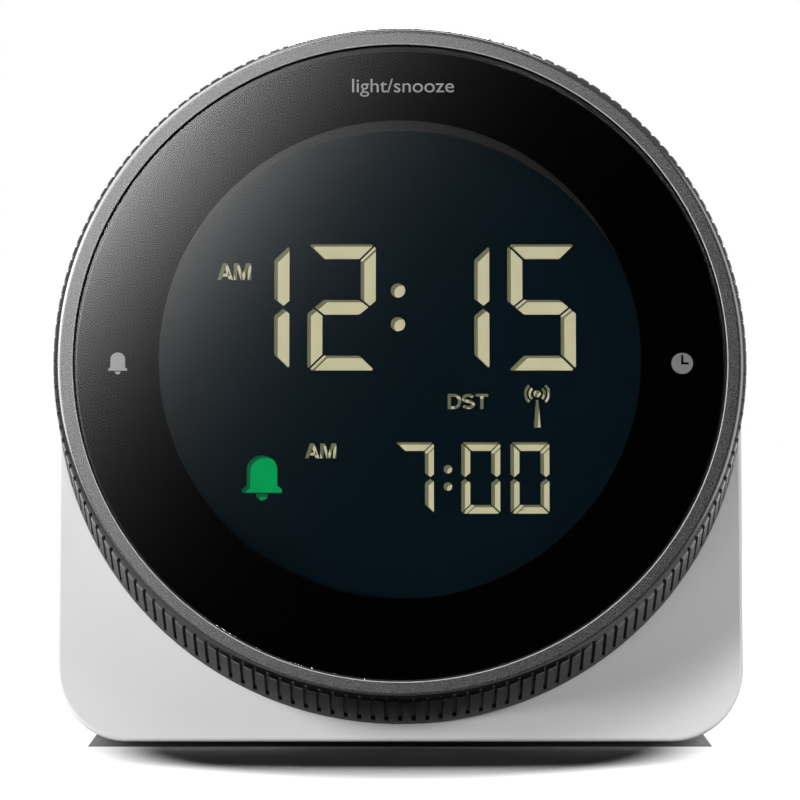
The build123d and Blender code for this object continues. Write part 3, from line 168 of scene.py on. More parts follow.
ALONG_X = (0.02, 1.0, 1.0)
ROUND_X = (1.0, 0.02, 0.02)
looks = {
    "housing_plastic": surfaced("housing_plastic", (0.66, 0.66, 0.668), 0.42, 0.16 * MM, 0.006 * MM,
                                drift=0.012),
    "ring_plastic": surfaced("ring_plastic", (0.003, 0.003, 0.0032), 0.26, 0.13 * MM, 0.0015 * MM,
                             drift=0.08),
    "inner_plastic": surfaced("inner_plastic", (0.006, 0.006, 0.0065), 0.5, 0.2 * MM, 0.008 * MM,
                              specular=0.2),
    "lens_clear": clear_lens("lens_clear"),
    "black_print": surfaced("black_print", (0.0006, 0.0006, 0.00065), 0.5, 0.2 * MM, 0.001 * MM,
                            specular=0.0),
    "foot_rubber": surfaced("foot_rubber", (0.07, 0.07, 0.071), 0.62, 0.3 * MM, 0.02 * MM, specular=0.08),
    "contact_rubber": surfaced("contact_rubber", (0.12, 0.12, 0.125), 0.6, 0.3 * MM, 0.02 * MM),
    "steel": surfaced("steel", (0.58, 0.58, 0.57), 0.3, 0.2 * MM, 0.003 * MM, metallic=1.0, stretch=ALONG_X),
    "gear_plastic": surfaced("gear_plastic", (0.72, 0.7, 0.64), 0.45, 0.2 * MM, 0.004 * MM),
    "part_plastic": surfaced("part_plastic", (0.02, 0.02, 0.02), 0.5, 0.2 * MM, 0.008 * MM),
    "plunger_plastic": surfaced("plunger_plastic", (0.35, 0.33, 0.28), 0.45, 0.2 * MM, 0.004 * MM),
    "display_glass": surfaced("display_glass", (0.0026, 0.0074, 0.0108), 0.5, 0.5 * MM, 0.0005 * MM,
                              specular=0.0),
    # The display marks' ground colour: painted shade, left showing at each mark's upper left
    "display_segments": surfaced("display_segments", (0.15, 0.158, 0.088), 0.6, 0.4 * MM, 0.001 * MM,
                                 specular=0.1),
    "guide_plastic": surfaced("guide_plastic", (0.75, 0.78, 0.78), 0.2, 0.4 * MM, 0.002 * MM),
    "white_sheet": surfaced("white_sheet", (0.82, 0.82, 0.8), 0.5, 0.3 * MM, 0.004 * MM),
    "board_laminate": surfaced("board_laminate", (0.012, 0.13, 0.045), 0.32, 0.4 * MM, 0.01 * MM),
    "ferrite": surfaced("ferrite", (0.05, 0.05, 0.055), 0.45, 0.2 * MM, 0.02 * MM),
    "copper_winding": surfaced("copper_winding", (0.55, 0.23, 0.09), 0.32, 0.3 * MM, 0.04 * MM, metallic=1.0,
                               stretch=ROUND_X),
    "sounder_brass": surfaced("sounder_brass", (0.66, 0.48, 0.2), 0.28, 0.3 * MM, 0.004 * MM, metallic=1.0),
    "sounder_ceramic": surfaced("sounder_ceramic", (0.74, 0.74, 0.7), 0.35, 0.3 * MM, 0.006 * MM),
    "cell_wrap": surfaced("cell_wrap", (0.045, 0.06, 0.085), 0.3, 0.4 * MM, 0.004 * MM),
    "nickel": surfaced("nickel", (0.62, 0.6, 0.55), 0.25, 0.2 * MM, 0.003 * MM, metallic=1.0),
    "lead_insulation": surfaced("lead_insulation", (0.22, 0.014, 0.012), 0.4, 0.3 * MM, 0.006 * MM),
}
for part in frame["record"]["subparts"]:
    node_mesh = nodes[part["node"]].data
    node_mesh.materials.clear()
    node_mesh.materials.append(looks[part["material_slot"]])

# The ring's front is grained, its round-over is smooth and glossier, and its grooved rim is dull
ROUND_ROUGHNESS = 0.5
ROUND_START = 0.015 * MM
ROUND_DEPTH = 0.06 * MM
RIM_ROUGHNESS = 2.4
RIM_START = 0.7 * MM
RIM_DEPTH = 1.3 * MM
ring_front = face_span("bezel_ring")[1].z + face_centre.dot(face_out)
tree = looks["ring_plastic"].node_tree
shader = tree.nodes["Principled BSDF"]
place = add_node(tree, "ShaderNodeTexCoord")
height = add_node(tree, "ShaderNodeVectorMath", operation="DOT_PRODUCT")
height.inputs[1].default_value = face_out
round_start = ring_front - ROUND_START
round_end = ring_front - ROUND_DEPTH
flat = add_node(tree, "ShaderNodeMapRange", from_min=round_end, from_max=round_start,
                to_min=ROUND_ROUGHNESS, to_max=1.0)
grain = add_node(tree, "ShaderNodeMapRange", from_min=round_end, from_max=round_start)
rim = add_node(tree, "ShaderNodeMapRange", from_min=ring_front - RIM_DEPTH, from_max=ring_front - RIM_START,
               to_min=RIM_ROUGHNESS / ROUND_ROUGHNESS, to_max=1.0)
glossier = add_node(tree, "ShaderNodeMath", operation="MULTIPLY")
duller = add_node(tree, "ShaderNodeMath", operation="MULTIPLY")
bump = shader.inputs["Normal"].links[0].from_node
tree.links.new(place.outputs["Object"], height.inputs[0])
for level in (flat, grain, rim):
    tree.links.new(height.outputs["Value"], level.inputs["Value"])
tree.links.new(shader.inputs["Roughness"].links[0].from_socket, glossier.inputs[0])
tree.links.new(flat.outputs["Result"], glossier.inputs[1])
tree.links.new(glossier.outputs["Value"], duller.inputs[0])
tree.links.new(rim.outputs["Result"], duller.inputs[1])
tree.links.new(duller.outputs["Value"], shader.inputs["Roughness"])
tree.links.new(grain.outputs["Result"], bump.inputs["Strength"])

# The hair-wide chamfer at the ring's inner edge is painted lighter, as a painted highlight line
CHAMFER_PAINTED_HIGHLIGHT = (0.14, 0.14, 0.14, 1.0)
CHAMFER_DEPTH = 0.11 * MM
CHAMFER_FADE = 0.02 * MM
ring_places = [TO_FACE @ vertex.co for vertex in nodes["bezel_ring"].data.vertices]
ring_top = max(place.z for place in ring_places)
front_radius = min(place.to_2d().length for place in ring_places if place.z > ring_top - CHAMFER_FADE / 2)
offset = add_node(tree, "ShaderNodeVectorMath", operation="SUBTRACT")
offset.inputs[1].default_value = face_centre
across = add_node(tree, "ShaderNodeVectorMath", operation="CROSS_PRODUCT")
across.inputs[1].default_value = face_out
radius = add_node(tree, "ShaderNodeVectorMath", operation="LENGTH")
inside = add_node(tree, "ShaderNodeMapRange", from_min=front_radius, from_max=front_radius + CHAMFER_FADE,
                  to_min=1.0, to_max=0.0)
shallow = add_node(tree, "ShaderNodeMapRange", from_min=ring_front - CHAMFER_DEPTH,
                   from_max=ring_front - CHAMFER_DEPTH + CHAMFER_FADE)
on_chamfer = add_node(tree, "ShaderNodeMath", operation="MULTIPLY")
chamfer_highlight_mix = add_node(tree, "ShaderNodeMix", data_type="RGBA")
plain, painted_highlight = [socket for socket in chamfer_highlight_mix.inputs if socket.type == "RGBA"]
painted_highlight.default_value = CHAMFER_PAINTED_HIGHLIGHT
tree.links.new(place.outputs["Object"], offset.inputs[0])
tree.links.new(offset.outputs["Vector"], across.inputs[0])
tree.links.new(across.outputs["Vector"], radius.inputs[0])
tree.links.new(radius.outputs["Value"], inside.inputs["Value"])
tree.links.new(height.outputs["Value"], shallow.inputs["Value"])
tree.links.new(inside.outputs["Result"], on_chamfer.inputs[0])
tree.links.new(shallow.outputs["Result"], on_chamfer.inputs[1])
tree.links.new(on_chamfer.outputs["Value"], chamfer_highlight_mix.inputs["Factor"])
tree.links.new(shader.inputs["Base Color"].links[0].from_socket, plain)
highlighted_colour = next(socket for socket in chamfer_highlight_mix.outputs if socket.type == "RGBA")
tree.links.new(highlighted_colour, shader.inputs["Base Color"])

# The ring's edges are broken by a hair
EDGE_BREAK = 0.07 * MM
EDGE_ANGLE = math.radians(38.0)
ring = nodes["bezel_ring"]
weld = ring.modifiers.new("weld", "WELD")
weld.merge_threshold = 0.001 * MM
breaking = ring.modifiers.new("broken_edges", "BEVEL")
breaking.width = EDGE_BREAK
breaking.segments = 2
breaking.limit_method = "ANGLE"
breaking.angle_limit = EDGE_ANGLE
flattened = ring.modifiers.new("flat_faces", "WEIGHTED_NORMAL")
flattened.keep_sharp = True

# Cream is the lit copy of the display marks, beside their ground of painted shade
cream = surfaced("segment_cream", (0.6, 0.557, 0.355), 0.6, 0.5 * MM, 0.001 * MM, drift=0.03, specular=0.1)
# The bell's dark green ground is painted shade, and its green layer the lit copy
bell_painted_shade = surfaced("bell_painted_shade_green", (0.002, 0.112, 0.038), 0.6, 0.5 * MM, 0.001 * MM, specular=0.0)
green = surfaced("bell_green", (0.0, 0.32, 0.082), 0.6, 0.5 * MM, 0.001 * MM, drift=0.03, specular=0.0)
grey_print = surfaced("grey_print", (0.33, 0.33, 0.33), 0.6, 0.5 * MM, 0.001 * MM, drift=0.03, specular=0.0)
dim_print = surfaced("dim_print", (0.19, 0.19, 0.19), 0.6, 0.5 * MM, 0.001 * MM, drift=0.03, specular=0.0)


# Meshes, drawn in the face's frame in metres
ROUND_STEPS = 288
EDGE_STEPS = 6
ARC_STEPS = 16
PLACE_DIGITS = 9
WELD = 0.002 * MM
SHARP_ANGLE = 28.0
FLAT_FACE = 0.9999


def mesh_of(name, builder):
    """Mesh from a bmesh, with its normals outward."""
    bmesh.ops.recalc_face_normals(builder, faces=builder.faces)
    made = bpy.data.meshes.new(name)
    builder.to_mesh(made)
    builder.free()
    return made


def finished(name, mesh, material, body):
    """Object from a mesh in the face's frame, which rides on a body."""
    made = bpy.data.objects.new(name, mesh)
    scene.collection.objects.link(made)
    mesh.transform(FACE)
    mesh.materials.clear()
    mesh.materials.append(material)
    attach(made, body)
    return made


def circle_points(radius_x, radius_y, x=0.0, y=0.0, steps=ROUND_STEPS):
    """Points of a circle or ellipse, counted anticlockwise."""
    turns = [2 * math.pi * step / steps for step in range(steps)]
    return [(x + radius_x * math.cos(turn), y + radius_y * math.sin(turn)) for turn in turns]


def lofted(loops, closed_ends=True):
    """Bmesh of loops of equal count, joined in turn, the ends closed or joined to each other."""
    builder = bmesh.new()
    rows = [[builder.verts.new(place) for place in loop] for loop in loops]
    joined = list(zip(rows, rows[1:])) if closed_ends else list(zip(rows, rows[1:] + rows[:1]))
    for first, second in joined:
        count = len(first)
        for step in range(count):
            after = (step + 1) % count
            builder.faces.new((first[step], first[after], second[after], second[step]))
    if closed_ends:
        builder.faces.new(rows[0])
        builder.faces.new(rows[-1])
    return builder


def plate(outlines, low, high):
    """Bmesh of flat outlines thickened between two heights and joined where they share an edge."""
    builder = bmesh.new()
    corners = {}
    edges = {}
    for outline in outlines:
        keys = [(round(x, PLACE_DIGITS), round(y, PLACE_DIGITS)) for x, y in outline]
        for key in keys:
            if key not in corners:
                corners[key] = [builder.verts.new((*key, height)) for height in (low, high)]
        for level in range(2):
            builder.faces.new([corners[key][level] for key in keys])
        for edge in zip(keys, keys[1:] + keys[:1]):
            edges[frozenset(edge)] = edges.get(frozenset(edge), 0) + 1
    for edge, uses in edges.items():
        if uses == 1:
            first, second = sorted(edge)
            builder.faces.new((*corners[first], *corners[second][::-1]))
    return builder


def smooth(mesh):
    """Smooth shading except across sharp corners and on the flat front and back."""
    mesh.set_sharp_from_angle(angle=math.radians(SHARP_ANGLE))
    for face in mesh.polygons:
        face.use_smooth = abs(face.normal.z) < FLAT_FACE


# Lens: a clear disc with a rounded edge in front
lens_low, lens_high = face_span("lens")
lens_radius = lens_high.x
LENS_EDGE_ROUND = 0.1 * MM
loops = [[(x, y, lens_low.z) for x, y in circle_points(lens_radius, lens_radius)]]
for step in range(EDGE_STEPS + 1):
    turn = math.pi / 2 * step / EDGE_STEPS
    radius = lens_radius - LENS_EDGE_ROUND * (1 - math.cos(turn))
    height = lens_high.z - LENS_EDGE_ROUND * (1 - math.sin(turn))
    loops.append([(x, y, height) for x, y in circle_points(radius, radius)])
lens_mesh = mesh_of("clear_lens", lofted(loops))
smooth(lens_mesh)
lens_piece = finished("clear_lens", lens_mesh, looks["lens_clear"], "lens_panel")
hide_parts("lens")

# The lens's rim is darkened, from where its edge starts to turn
LENS_RIM_TURN = math.cos(math.radians(15.0))
lens_mesh.materials.append(looks["part_plastic"])
for face in lens_mesh.polygons:
    face.material_index = int(abs(face.normal.dot(face_out)) < LENS_RIM_TURN)

# Black print on the back of the lens, let into it by a hair so that no two surfaces coincide
PRINT_ENTRY = 0.02 * MM
mask_low, mask_high = face_span("lens_mask")
mask_mesh_points = [TO_FACE @ vertex.co for vertex in nodes["lens_mask"].data.vertices]
INSIDE_SHARE = 0.9
window_points = [point for point in mask_mesh_points if point.to_2d().length < mask_high.x * INSIDE_SHARE]
window_x = max(point.x for point in window_points)
window_top = max(point.y for point in window_points)
window_bottom = min(point.y for point in window_points)
window_up = (window_top + window_bottom) / 2
window_y = (window_top - window_bottom) / 2
mask_outer = circle_points(mask_high.x, mask_high.x)
mask_inner = circle_points(window_x, window_y, 0.0, window_up)
mask_front = mask_high.z + PRINT_ENTRY
mask_mesh = mesh_of("lens_print", lofted([
    [(x, y, mask_low.z) for x, y in mask_outer],
    [(x, y, mask_front) for x, y in mask_outer],
    [(x, y, mask_front) for x, y in mask_inner],
    [(x, y, mask_low.z) for x, y in mask_inner],
], closed_ends=False))
smooth(mask_mesh)
mask_piece = finished("lens_print", mask_mesh, looks["black_print"], "lens_panel")
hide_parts("lens_mask")


# Lettering and signs
def lettering(words, low, high, bottom, top):
    """Mesh of words that fill a box in the face's plane, between two heights."""
    curve = bpy.data.curves.new("lettering", "FONT")
    curve.body = words
    curve.extrude = 1.0
    holder = bpy.data.objects.new("lettering", curve)
    scene.collection.objects.link(holder)
    bpy.context.view_layer.update()
    made = bpy.data.meshes.new_from_object(holder.evaluated_get(bpy.context.evaluated_depsgraph_get()))
    bpy.data.objects.remove(holder)
    lowest = [min(vertex.co[axis] for vertex in made.vertices) for axis in range(3)]
    highest = [max(vertex.co[axis] for vertex in made.vertices) for axis in range(3)]
    places = ((low[0], high[0]), (low[1], high[1]), (bottom, top))
    for vertex in made.vertices:
        for axis, (start, end) in enumerate(places):
            share = (vertex.co[axis] - lowest[axis]) / (highest[axis] - lowest[axis])
            vertex.co[axis] = start + share * (end - start)
    builder = bmesh.new()
    builder.from_mesh(made)
    bmesh.ops.remove_doubles(builder, verts=builder.verts, dist=WELD)
    return mesh_of("lettering", builder)


# The bell's proportions, as shares of its half width and of its height
BELL_DOME = 0.765
BELL_CLAPPER = 0.3
BELL_RISE = 0.305
BELL_FLARE_DROP = 0.175
BELL_BRIM_TOP_DROP = 0.255
BELL_BRIM_LOW_DROP = 0.333
BELL_CLAPPER_DROP = 0.372


def bell_outlines(x, y, width, height):
    """Dome with a flared brim, and the clapper below it."""
    half = width / 2
    dome = half * BELL_DOME
    rise = height * BELL_RISE
    flare = y - height * BELL_FLARE_DROP
    brim_top = y - height * BELL_BRIM_TOP_DROP
    brim_low = y - height * BELL_BRIM_LOW_DROP
    shoulder = y + height / 2 - rise
    turns = [math.pi * step / ARC_STEPS for step in range(ARC_STEPS + 1)]
    body = [(x + half, brim_low), (x + half, brim_top), (x + dome, flare)]
    body += [(x + dome * math.cos(turn), shoulder + rise * math.sin(turn)) for turn in turns]
    body += [(x - dome, flare), (x - half, brim_top), (x - half, brim_low)]
    clapper = half * BELL_CLAPPER
    clapper_top = y - height * BELL_CLAPPER_DROP
    drop = clapper_top - (y - height / 2)
    knob = [(x + clapper * math.cos(turn), clapper_top - drop * math.sin(turn)) for turn in turns]
    return [body, knob]


def half_turn(x, y, radius_x, radius_y):
    """Points of the right half of an ellipse, from its bottom to its top."""
    turns = [math.pi * (step / ARC_STEPS - 0.5) for step in range(ARC_STEPS + 1)]
    return [(x + radius_x * math.cos(turn), y + radius_y * math.sin(turn)) for turn in turns]


def letter_a():
    """Cells and width of a bold A, one unit high."""
    width = 0.93
    middle = width / 2
    foot = 0.235
    half_tip = 0.13
    bar_low = 0.2
    bar_high = 0.37
    lean = middle - half_tip
    apex = (middle - foot) / lean
    levels = [0.0, bar_low, bar_high, apex, 1.0]
    outer = [(lean * level, level) for level in levels]
    inner = [(min(foot + lean * level, middle), level) for level in levels]
    left = [[outer[row], inner[row], inner[row + 1], outer[row + 1]] for row in range(len(levels) - 1)]
    right = [[(width - x, y) for x, y in cell] for cell in left]
    bar = [inner[1], (width - inner[1][0], inner[1][1]), (width - inner[2][0], inner[2][1]), inner[2]]
    return left + right + [bar], width


def letter_m():
    """Cells and width of a bold M, one unit high."""
    width = 1.03
    middle = width / 2
    stem = 0.2
    shoulder = 0.3
    valley = 0.3
    fork = 0.74
    half_point = 0.105
    outside = [(shoulder, 1.0), (0.0, 1.0), (0.0, 0.0), (stem, 0.0)]
    left = [(middle, valley)] + outside + [(stem, fork), (middle - half_point, 0.0)]
    return [left + [(width - x, y) for x, y in left[:0:-1]]], width


def letter_d():
    """Cells and width of a bold D, one unit high."""
    width = 0.85
    stem = 0.2
    bar = 0.17
    turn = 0.42
    stem_side = [(stem, 0.0), (stem, bar), (stem, 1.0 - bar), (stem, 1.0)]
    outer = half_turn(turn, 0.5, width - turn, 0.5)
    inner = half_turn(turn, 0.5, width - stem - turn, 0.5 - bar)
    bowl = [stem_side[0]] + outer + [stem_side[3], stem_side[2]] + inner[::-1] + [stem_side[1]]
    return [[(0.0, 0.0)] + stem_side + [(0.0, 1.0)], bowl], width


def letter_s():
    """Cells and width of a bold S, one unit high."""
    width = 0.81
    stroke = 0.185
    end = 25.0
    sweep = 220.0
    turns = [math.radians(end + sweep * step / ARC_STEPS) for step in range(ARC_STEPS + 1)]
    reach = (width - stroke) / 2
    rise = 0.25 - stroke / 4
    bowl = 1.0 - stroke / 2 - rise
    upper = [(width / 2 + reach * math.cos(turn), bowl + rise * math.sin(turn)) for turn in turns]
    spine = [Vector(place) for place in upper + [(width - x, 1.0 - y) for x, y in upper[::-1]]]
    sides = [[], []]
    for step, place in enumerate(spine):
        along = spine[min(step + 1, len(spine) - 1)] - spine[max(step - 1, 0)]
        aside = Vector((-along.y, along.x)).normalized() * stroke / 2
        sides[0].append(tuple(place + aside))
        sides[1].append(tuple(place - aside))
    return [sides[0] + sides[1][::-1]], width


def letter_t():
    """Cells and width of a bold T, one unit high."""
    width = 0.79
    bar_low = 0.83
    half_stem = 0.1
    corners = ((1, bar_low), (1, 0.0), (-1, 0.0), (-1, bar_low))
    stem = [(width / 2 + side * half_stem, y) for side, y in corners]
    return [[(0.0, bar_low), (0.0, 1.0), (width, 1.0), (width, bar_low)] + stem], width


LETTERS = {"A": letter_a, "M": letter_m, "D": letter_d, "S": letter_s, "T": letter_t}
LETTER_SPACE = 0.05


def bold_word(word, low, high):
    """Outlines of a word in bold capitals that fill a box in the face's plane."""
    outlines = []
    start = -LETTER_SPACE
    for letter in word:
        cells, width = LETTERS[letter]()
        start += LETTER_SPACE
        outlines += [[(start + x, y) for x, y in cell] for cell in cells]
        start += width
    across = (high[0] - low[0]) / start
    tall = high[1] - low[1]
    return [[(low[0] + x * across, low[1] + y * tall) for x, y in outline] for outline in outlines]


def arc_outline(x, y, radius, width, middle, sweep):
    """Band of an arc round a point."""
    turns = [middle - sweep / 2 + sweep * step / ARC_STEPS for step in range(ARC_STEPS + 1)]
    outer = radius + width / 2
    inner = radius - width / 2
    outside = [(x + outer * math.cos(turn), y + outer * math.sin(turn)) for turn in turns]
    inside = [(x + inner * math.cos(turn), y + inner * math.sin(turn)) for turn in turns]
    return outside + inside[::-1]


# Display marks: a ground painted as the shade on each mark's upper left, and to its lower right a cream layer, the
# lit copy, which that painted shade leaves bare
segments_low, segments_high = face_span("lcd_segments")
mark_low = segments_low.z
mark_high = segments_high.z
LAYER_PROUD = 0.02 * MM
SHADE_X = 0.4 * MM
SHADE_Y = 0.28 * MM
CUT_SPARE = 1.0 * MM


def moved(mesh, x, y, low, high):
    """Copy of a mesh in the face's frame, shifted in the plane and stretched between two heights."""
    made = mesh.copy()
    heights = [vertex.co.z for vertex in made.vertices]
    middle = (min(heights) + max(heights)) / 2
    for vertex in made.vertices:
        vertex.co = (vertex.co.x + x, vertex.co.y + y, high if vertex.co.z > middle else low)
    return made


def lit_layer(name, ground, material):
    """What a shifted copy of the ground shares with it, just proud of it: the lit copy, which leaves the ground's
    painted shade showing to its upper left.
    """
    lifted = moved(ground, 0.0, 0.0, mark_low + LAYER_PROUD, mark_high + LAYER_PROUD)
    shifted = moved(ground, SHADE_X, -SHADE_Y, mark_low - CUT_SPARE, mark_high + CUT_SPARE)
    upper = bpy.data.objects.new(name, lifted)
    cutter = bpy.data.objects.new(name + "_shade", shifted)
    for made in (upper, cutter):
        scene.collection.objects.link(made)
    modifier = upper.modifiers.new("shared", "BOOLEAN")
    modifier.operation = "INTERSECT"
    modifier.solver = "EXACT"
    modifier.object = cutter
    bpy.context.view_layer.update()
    made = bpy.data.meshes.new_from_object(upper.evaluated_get(bpy.context.evaluated_depsgraph_get()))
    bpy.data.objects.remove(upper)
    bpy.data.objects.remove(cutter)
    made.name = name
    return finished(name, made, material, "housing")


def mark(name, mesh, ground, top):
    """Mark of the display: its ground in painted shade and the lit layer on it."""
    lit_layer(name + "_lit", mesh, top)
    return finished(name, mesh, ground, "housing")


digit_mesh = nodes["lcd_segments"].data.copy()
digit_mesh.transform(TO_FACE)
digit_builder = bmesh.new()
digit_builder.from_mesh(digit_mesh)
bmesh.ops.remove_doubles(digit_builder, verts=digit_builder.verts, dist=WELD)
# The digits' ground is the lcd_segments part in that painted shade; this is its lit copy
lit_layer("digits_lit", mesh_of("digits", digit_builder), cream)

painted_shade_olive = looks["display_segments"]
for name, word, low, high in (
    ("morning_sign", "AM", (-20.69, 10.63), (-16.86, 12.55)),
    ("summer_time_sign", "DST", (5.39, -4.38), (9.95, -2.63)),
    ("alarm_morning_sign", "AM", (-10.72, -10.08), (-7.18, -8.37)),
):
    outlines = bold_word(word, [part * MM for part in low], [part * MM for part in high])
    mark(name, mesh_of(name, plate(outlines, mark_low, mark_high)), painted_shade_olive, cream)

BELL_X = -15.55 * MM
BELL_Y = -12.35 * MM
BELL_WIDTH = 4.49 * MM
BELL_HEIGHT = 5.16 * MM
bell = plate(bell_outlines(BELL_X, BELL_Y, BELL_WIDTH, BELL_HEIGHT), mark_low, mark_high)
mark("alarm_bell", mesh_of("alarm_bell", bell), bell_painted_shade, green)

MAST_X = 15.49 * MM
BALL_Y = -2.62 * MM
BALL_RADIUS = 0.41 * MM
MAST_TOP = -3.34 * MM
MAST_BOTTOM = -6.52 * MM
MAST_TOP_HALF = 0.13 * MM
MAST_BOTTOM_HALF = 0.38 * MM
WAVE_WIDTH = 0.28 * MM
WAVE_RADII = (0.82 * MM, 1.32 * MM)
WAVE_SWEEP = math.radians(93.0)
mast = [
    (MAST_X - MAST_TOP_HALF, MAST_TOP),
    (MAST_X - MAST_BOTTOM_HALF, MAST_BOTTOM),
    (MAST_X + MAST_BOTTOM_HALF, MAST_BOTTOM),
    (MAST_X + MAST_TOP_HALF, MAST_TOP),
]
waves = [
    arc_outline(MAST_X, BALL_Y, radius, WAVE_WIDTH, middle, WAVE_SWEEP)
    for radius in WAVE_RADII for middle in (0.0, math.pi)
]
ball = circle_points(BALL_RADIUS, BALL_RADIUS, MAST_X, BALL_Y, ARC_STEPS * 2)
mark("radio_mast", mesh_of("radio_mast", plate([mast, ball] + waves, mark_low, mark_high)), painted_shade_olive, cream)

# Signs printed on the lens, in front of the black print
SIGN_THICKNESS = 0.02 * MM
sign_low = mask_front + PRINT_ENTRY
sign_high = sign_low + SIGN_THICKNESS
SIGN_REACH = 31.77 * MM
SIGN_UP = 0.01 * MM
KEY_BELL_WIDTH = 2.16 * MM
KEY_BELL_HEIGHT = 2.53 * MM
key_bell = plate(bell_outlines(-SIGN_REACH, SIGN_UP, KEY_BELL_WIDTH, KEY_BELL_HEIGHT), sign_low, sign_high)
finished("alarm_key_sign", mesh_of("alarm_key_sign", key_bell), grey_print, "lens_panel")

DIAL_RADIUS = 1.22 * MM
HAND_WIDTH = 0.24 * MM
HAND_UP = 0.95 * MM
HAND_RIGHT = 0.74 * MM
dial_outline = circle_points(DIAL_RADIUS, DIAL_RADIUS, SIGN_REACH, SIGN_UP, ARC_STEPS * 4)
dial = plate([dial_outline], sign_low, sign_high)
finished("time_key_sign", mesh_of("time_key_sign", dial), dim_print, "lens_panel")
hands = [
    (SIGN_REACH - HAND_WIDTH / 2, SIGN_UP + HAND_UP),
    (SIGN_REACH - HAND_WIDTH / 2, SIGN_UP - HAND_WIDTH / 2),
    (SIGN_REACH + HAND_RIGHT, SIGN_UP - HAND_WIDTH / 2),
    (SIGN_REACH + HAND_RIGHT, SIGN_UP + HAND_WIDTH / 2),
    (SIGN_REACH + HAND_WIDTH / 2, SIGN_UP + HAND_WIDTH / 2),
    (SIGN_REACH + HAND_WIDTH / 2, SIGN_UP + HAND_UP),
]
hand_mesh = mesh_of("time_key_hands", plate([hands], sign_low, sign_high + SIGN_THICKNESS))
finished("time_key_hands", hand_mesh, looks["black_print"], "lens_panel")

LABEL_LOW = (-5.42 * MM, 31.06 * MM)
LABEL_HIGH = (6.11 * MM, 33.17 * MM)
label = lettering("light/snooze", LABEL_LOW, LABEL_HIGH, sign_low, sign_high)
finished("snooze_label", label, grey_print, "lens_panel")

# Camera, level and square to the clock
CAMERA_DISTANCE = 1.0
CAMERA_DROP = 4.45 * MM
SENSOR = 36.0
PIXELS = 800
PIXELS_PER_MM = 8.853
FOCUS_BEHIND = 5.0
focal_pixels = PIXELS_PER_MM * (CAMERA_DISTANCE / MM + FOCUS_BEHIND)
camera_data = bpy.data.cameras.new("camera")
camera_data.sensor_width = SENSOR
camera_data.lens = focal_pixels * SENSOR / PIXELS
camera_data.clip_start = 0.01
camera = bpy.data.objects.new("camera", camera_data)
scene.collection.objects.link(camera)
camera.location = face_centre + Vector((0.0, -CAMERA_DISTANCE, -CAMERA_DROP))
camera.rotation_euler = (math.radians(90.0), 0.0, 0.0)
scene.camera = camera

# Light: soft lamps at the left, right and behind, a graded card that the lens mirrors, and a pale room
to_camera = Vector((0.0, -1.0, 0.0))
mirror_out = (2 * face_out.dot(to_camera) * face_out - to_camera).normalized()
mirror_up = mirror_out.cross(face_right)
CARD_DISTANCE = 0.7
CARD_X = -0.04
CARD_UP = 0.04
CARD_HALF = 0.11
CARD_FADE_X = 0.0125
CARD_FADE_UP = 0.0168
CARD_MIDDLE = 0.0151
CARD_PEAK = 24.0
# Lamps: name, azimuth and elevation in degrees, distance, width and height in metres, watts, what they light
LAMPS = (
    ("key", -54.0, -0.5, 0.9, 0.4, 0.06, 3.0, "front"),
    ("front", -12.0, -1.0, 0.9, 0.3, 0.04, 2.6, "face"),
    ("right", 52.0, 12.0, 0.9, 0.26, 0.26, 1.15, "front"),
    ("house_front", -12.0, -1.0, 0.9, 0.3, 0.04, 0.8, "house"),
    ("house_left", -46.0, 18.0, 0.9, 0.3, 0.3, 6.5, "house"),
    ("house_right", 66.0, 18.0, 0.9, 0.3, 0.3, 3.8, "house"),
    ("ring_left", -42.0, 46.0, 0.7, 0.5, 0.5, 14.0, "ring"),
    ("ring_edge", -41.0, 24.0, 0.7, 0.3, 0.3, 6.0, "ring"),
    ("ring_top", 0.0, 86.0, 0.7, 0.5, 0.2, 3.0, "ring"),
    ("ring_right", 56.0, 16.0, 0.7, 0.4, 0.8, 6.5, "ring"),
    ("behind", 180.0, 51.0, 1.0, 0.45, 0.17, 15.0, "floor"),
    ("rear", 180.0, 40.0, 1.0, 0.45, 0.45, 8.5, "piece"),
)
ROOM = 0.02
WHITE = (1.0, 1.0, 1.0, 1.0)
FLOOR_COLOUR = (0.6, 0.6, 0.6, 1.0)
# The floor's glow rises from near to far over an oval distance from the clock: painted light over the sides of its
# shadow
FLOOR_LIFT_NEAR = 0.0
FLOOR_LIFT_FAR = 1.0
FLOOR_NEAR = 0.087
FLOOR_FAR = 0.118
FLOOR_STRETCH = (3.2, 1.0, 1.0)
FLOOR_HALF = 6.0
FLAG_WIDE = math.cos(math.radians(32.0))
FLAG_NARROW = math.cos(math.radians(14.0))


def sheet(name, half, matrix):
    """Square sheet in a frame."""
    made = bpy.data.meshes.new(name)
    corners = [(-half, -half, 0.0), (half, -half, 0.0), (half, half, 0.0), (-half, half, 0.0)]
    made.from_pydata(corners, [], [(0, 1, 2, 3)])
    holder = bpy.data.objects.new(name, made)
    holder.matrix_world = matrix
    scene.collection.objects.link(holder)
    return holder


floor = sheet("floor", FLOOR_HALF, Matrix.Identity(4))


def linked(name, members, state):
    """Collection that has a lamp light its members alone, or all but them."""
    made = bpy.data.collections.new(name)
    for member in members:
        made.objects.link(member)
    for entry in made.collection_objects:
        entry.light_linking.link_state = state
    return made


foot = nodes["foot_pad"]
house = nodes["housing_shell"]
LIT = {
    "piece": linked("not_floor_or_ring", [floor, ring], "EXCLUDE"),
    "front": linked("not_floor_ring_or_foot", [floor, ring, foot], "EXCLUDE"),
    "face": linked("not_floor_ring_foot_or_house", [floor, ring, foot, house], "EXCLUDE"),
    "foot": linked("foot_alone", [foot], "INCLUDE"),
    "house": linked("house_alone", [house], "INCLUDE"),
    "ring": linked("ring_alone", [ring], "INCLUDE"),
    "floor": linked("floor_and_ring", [floor, ring], "INCLUDE"),
}

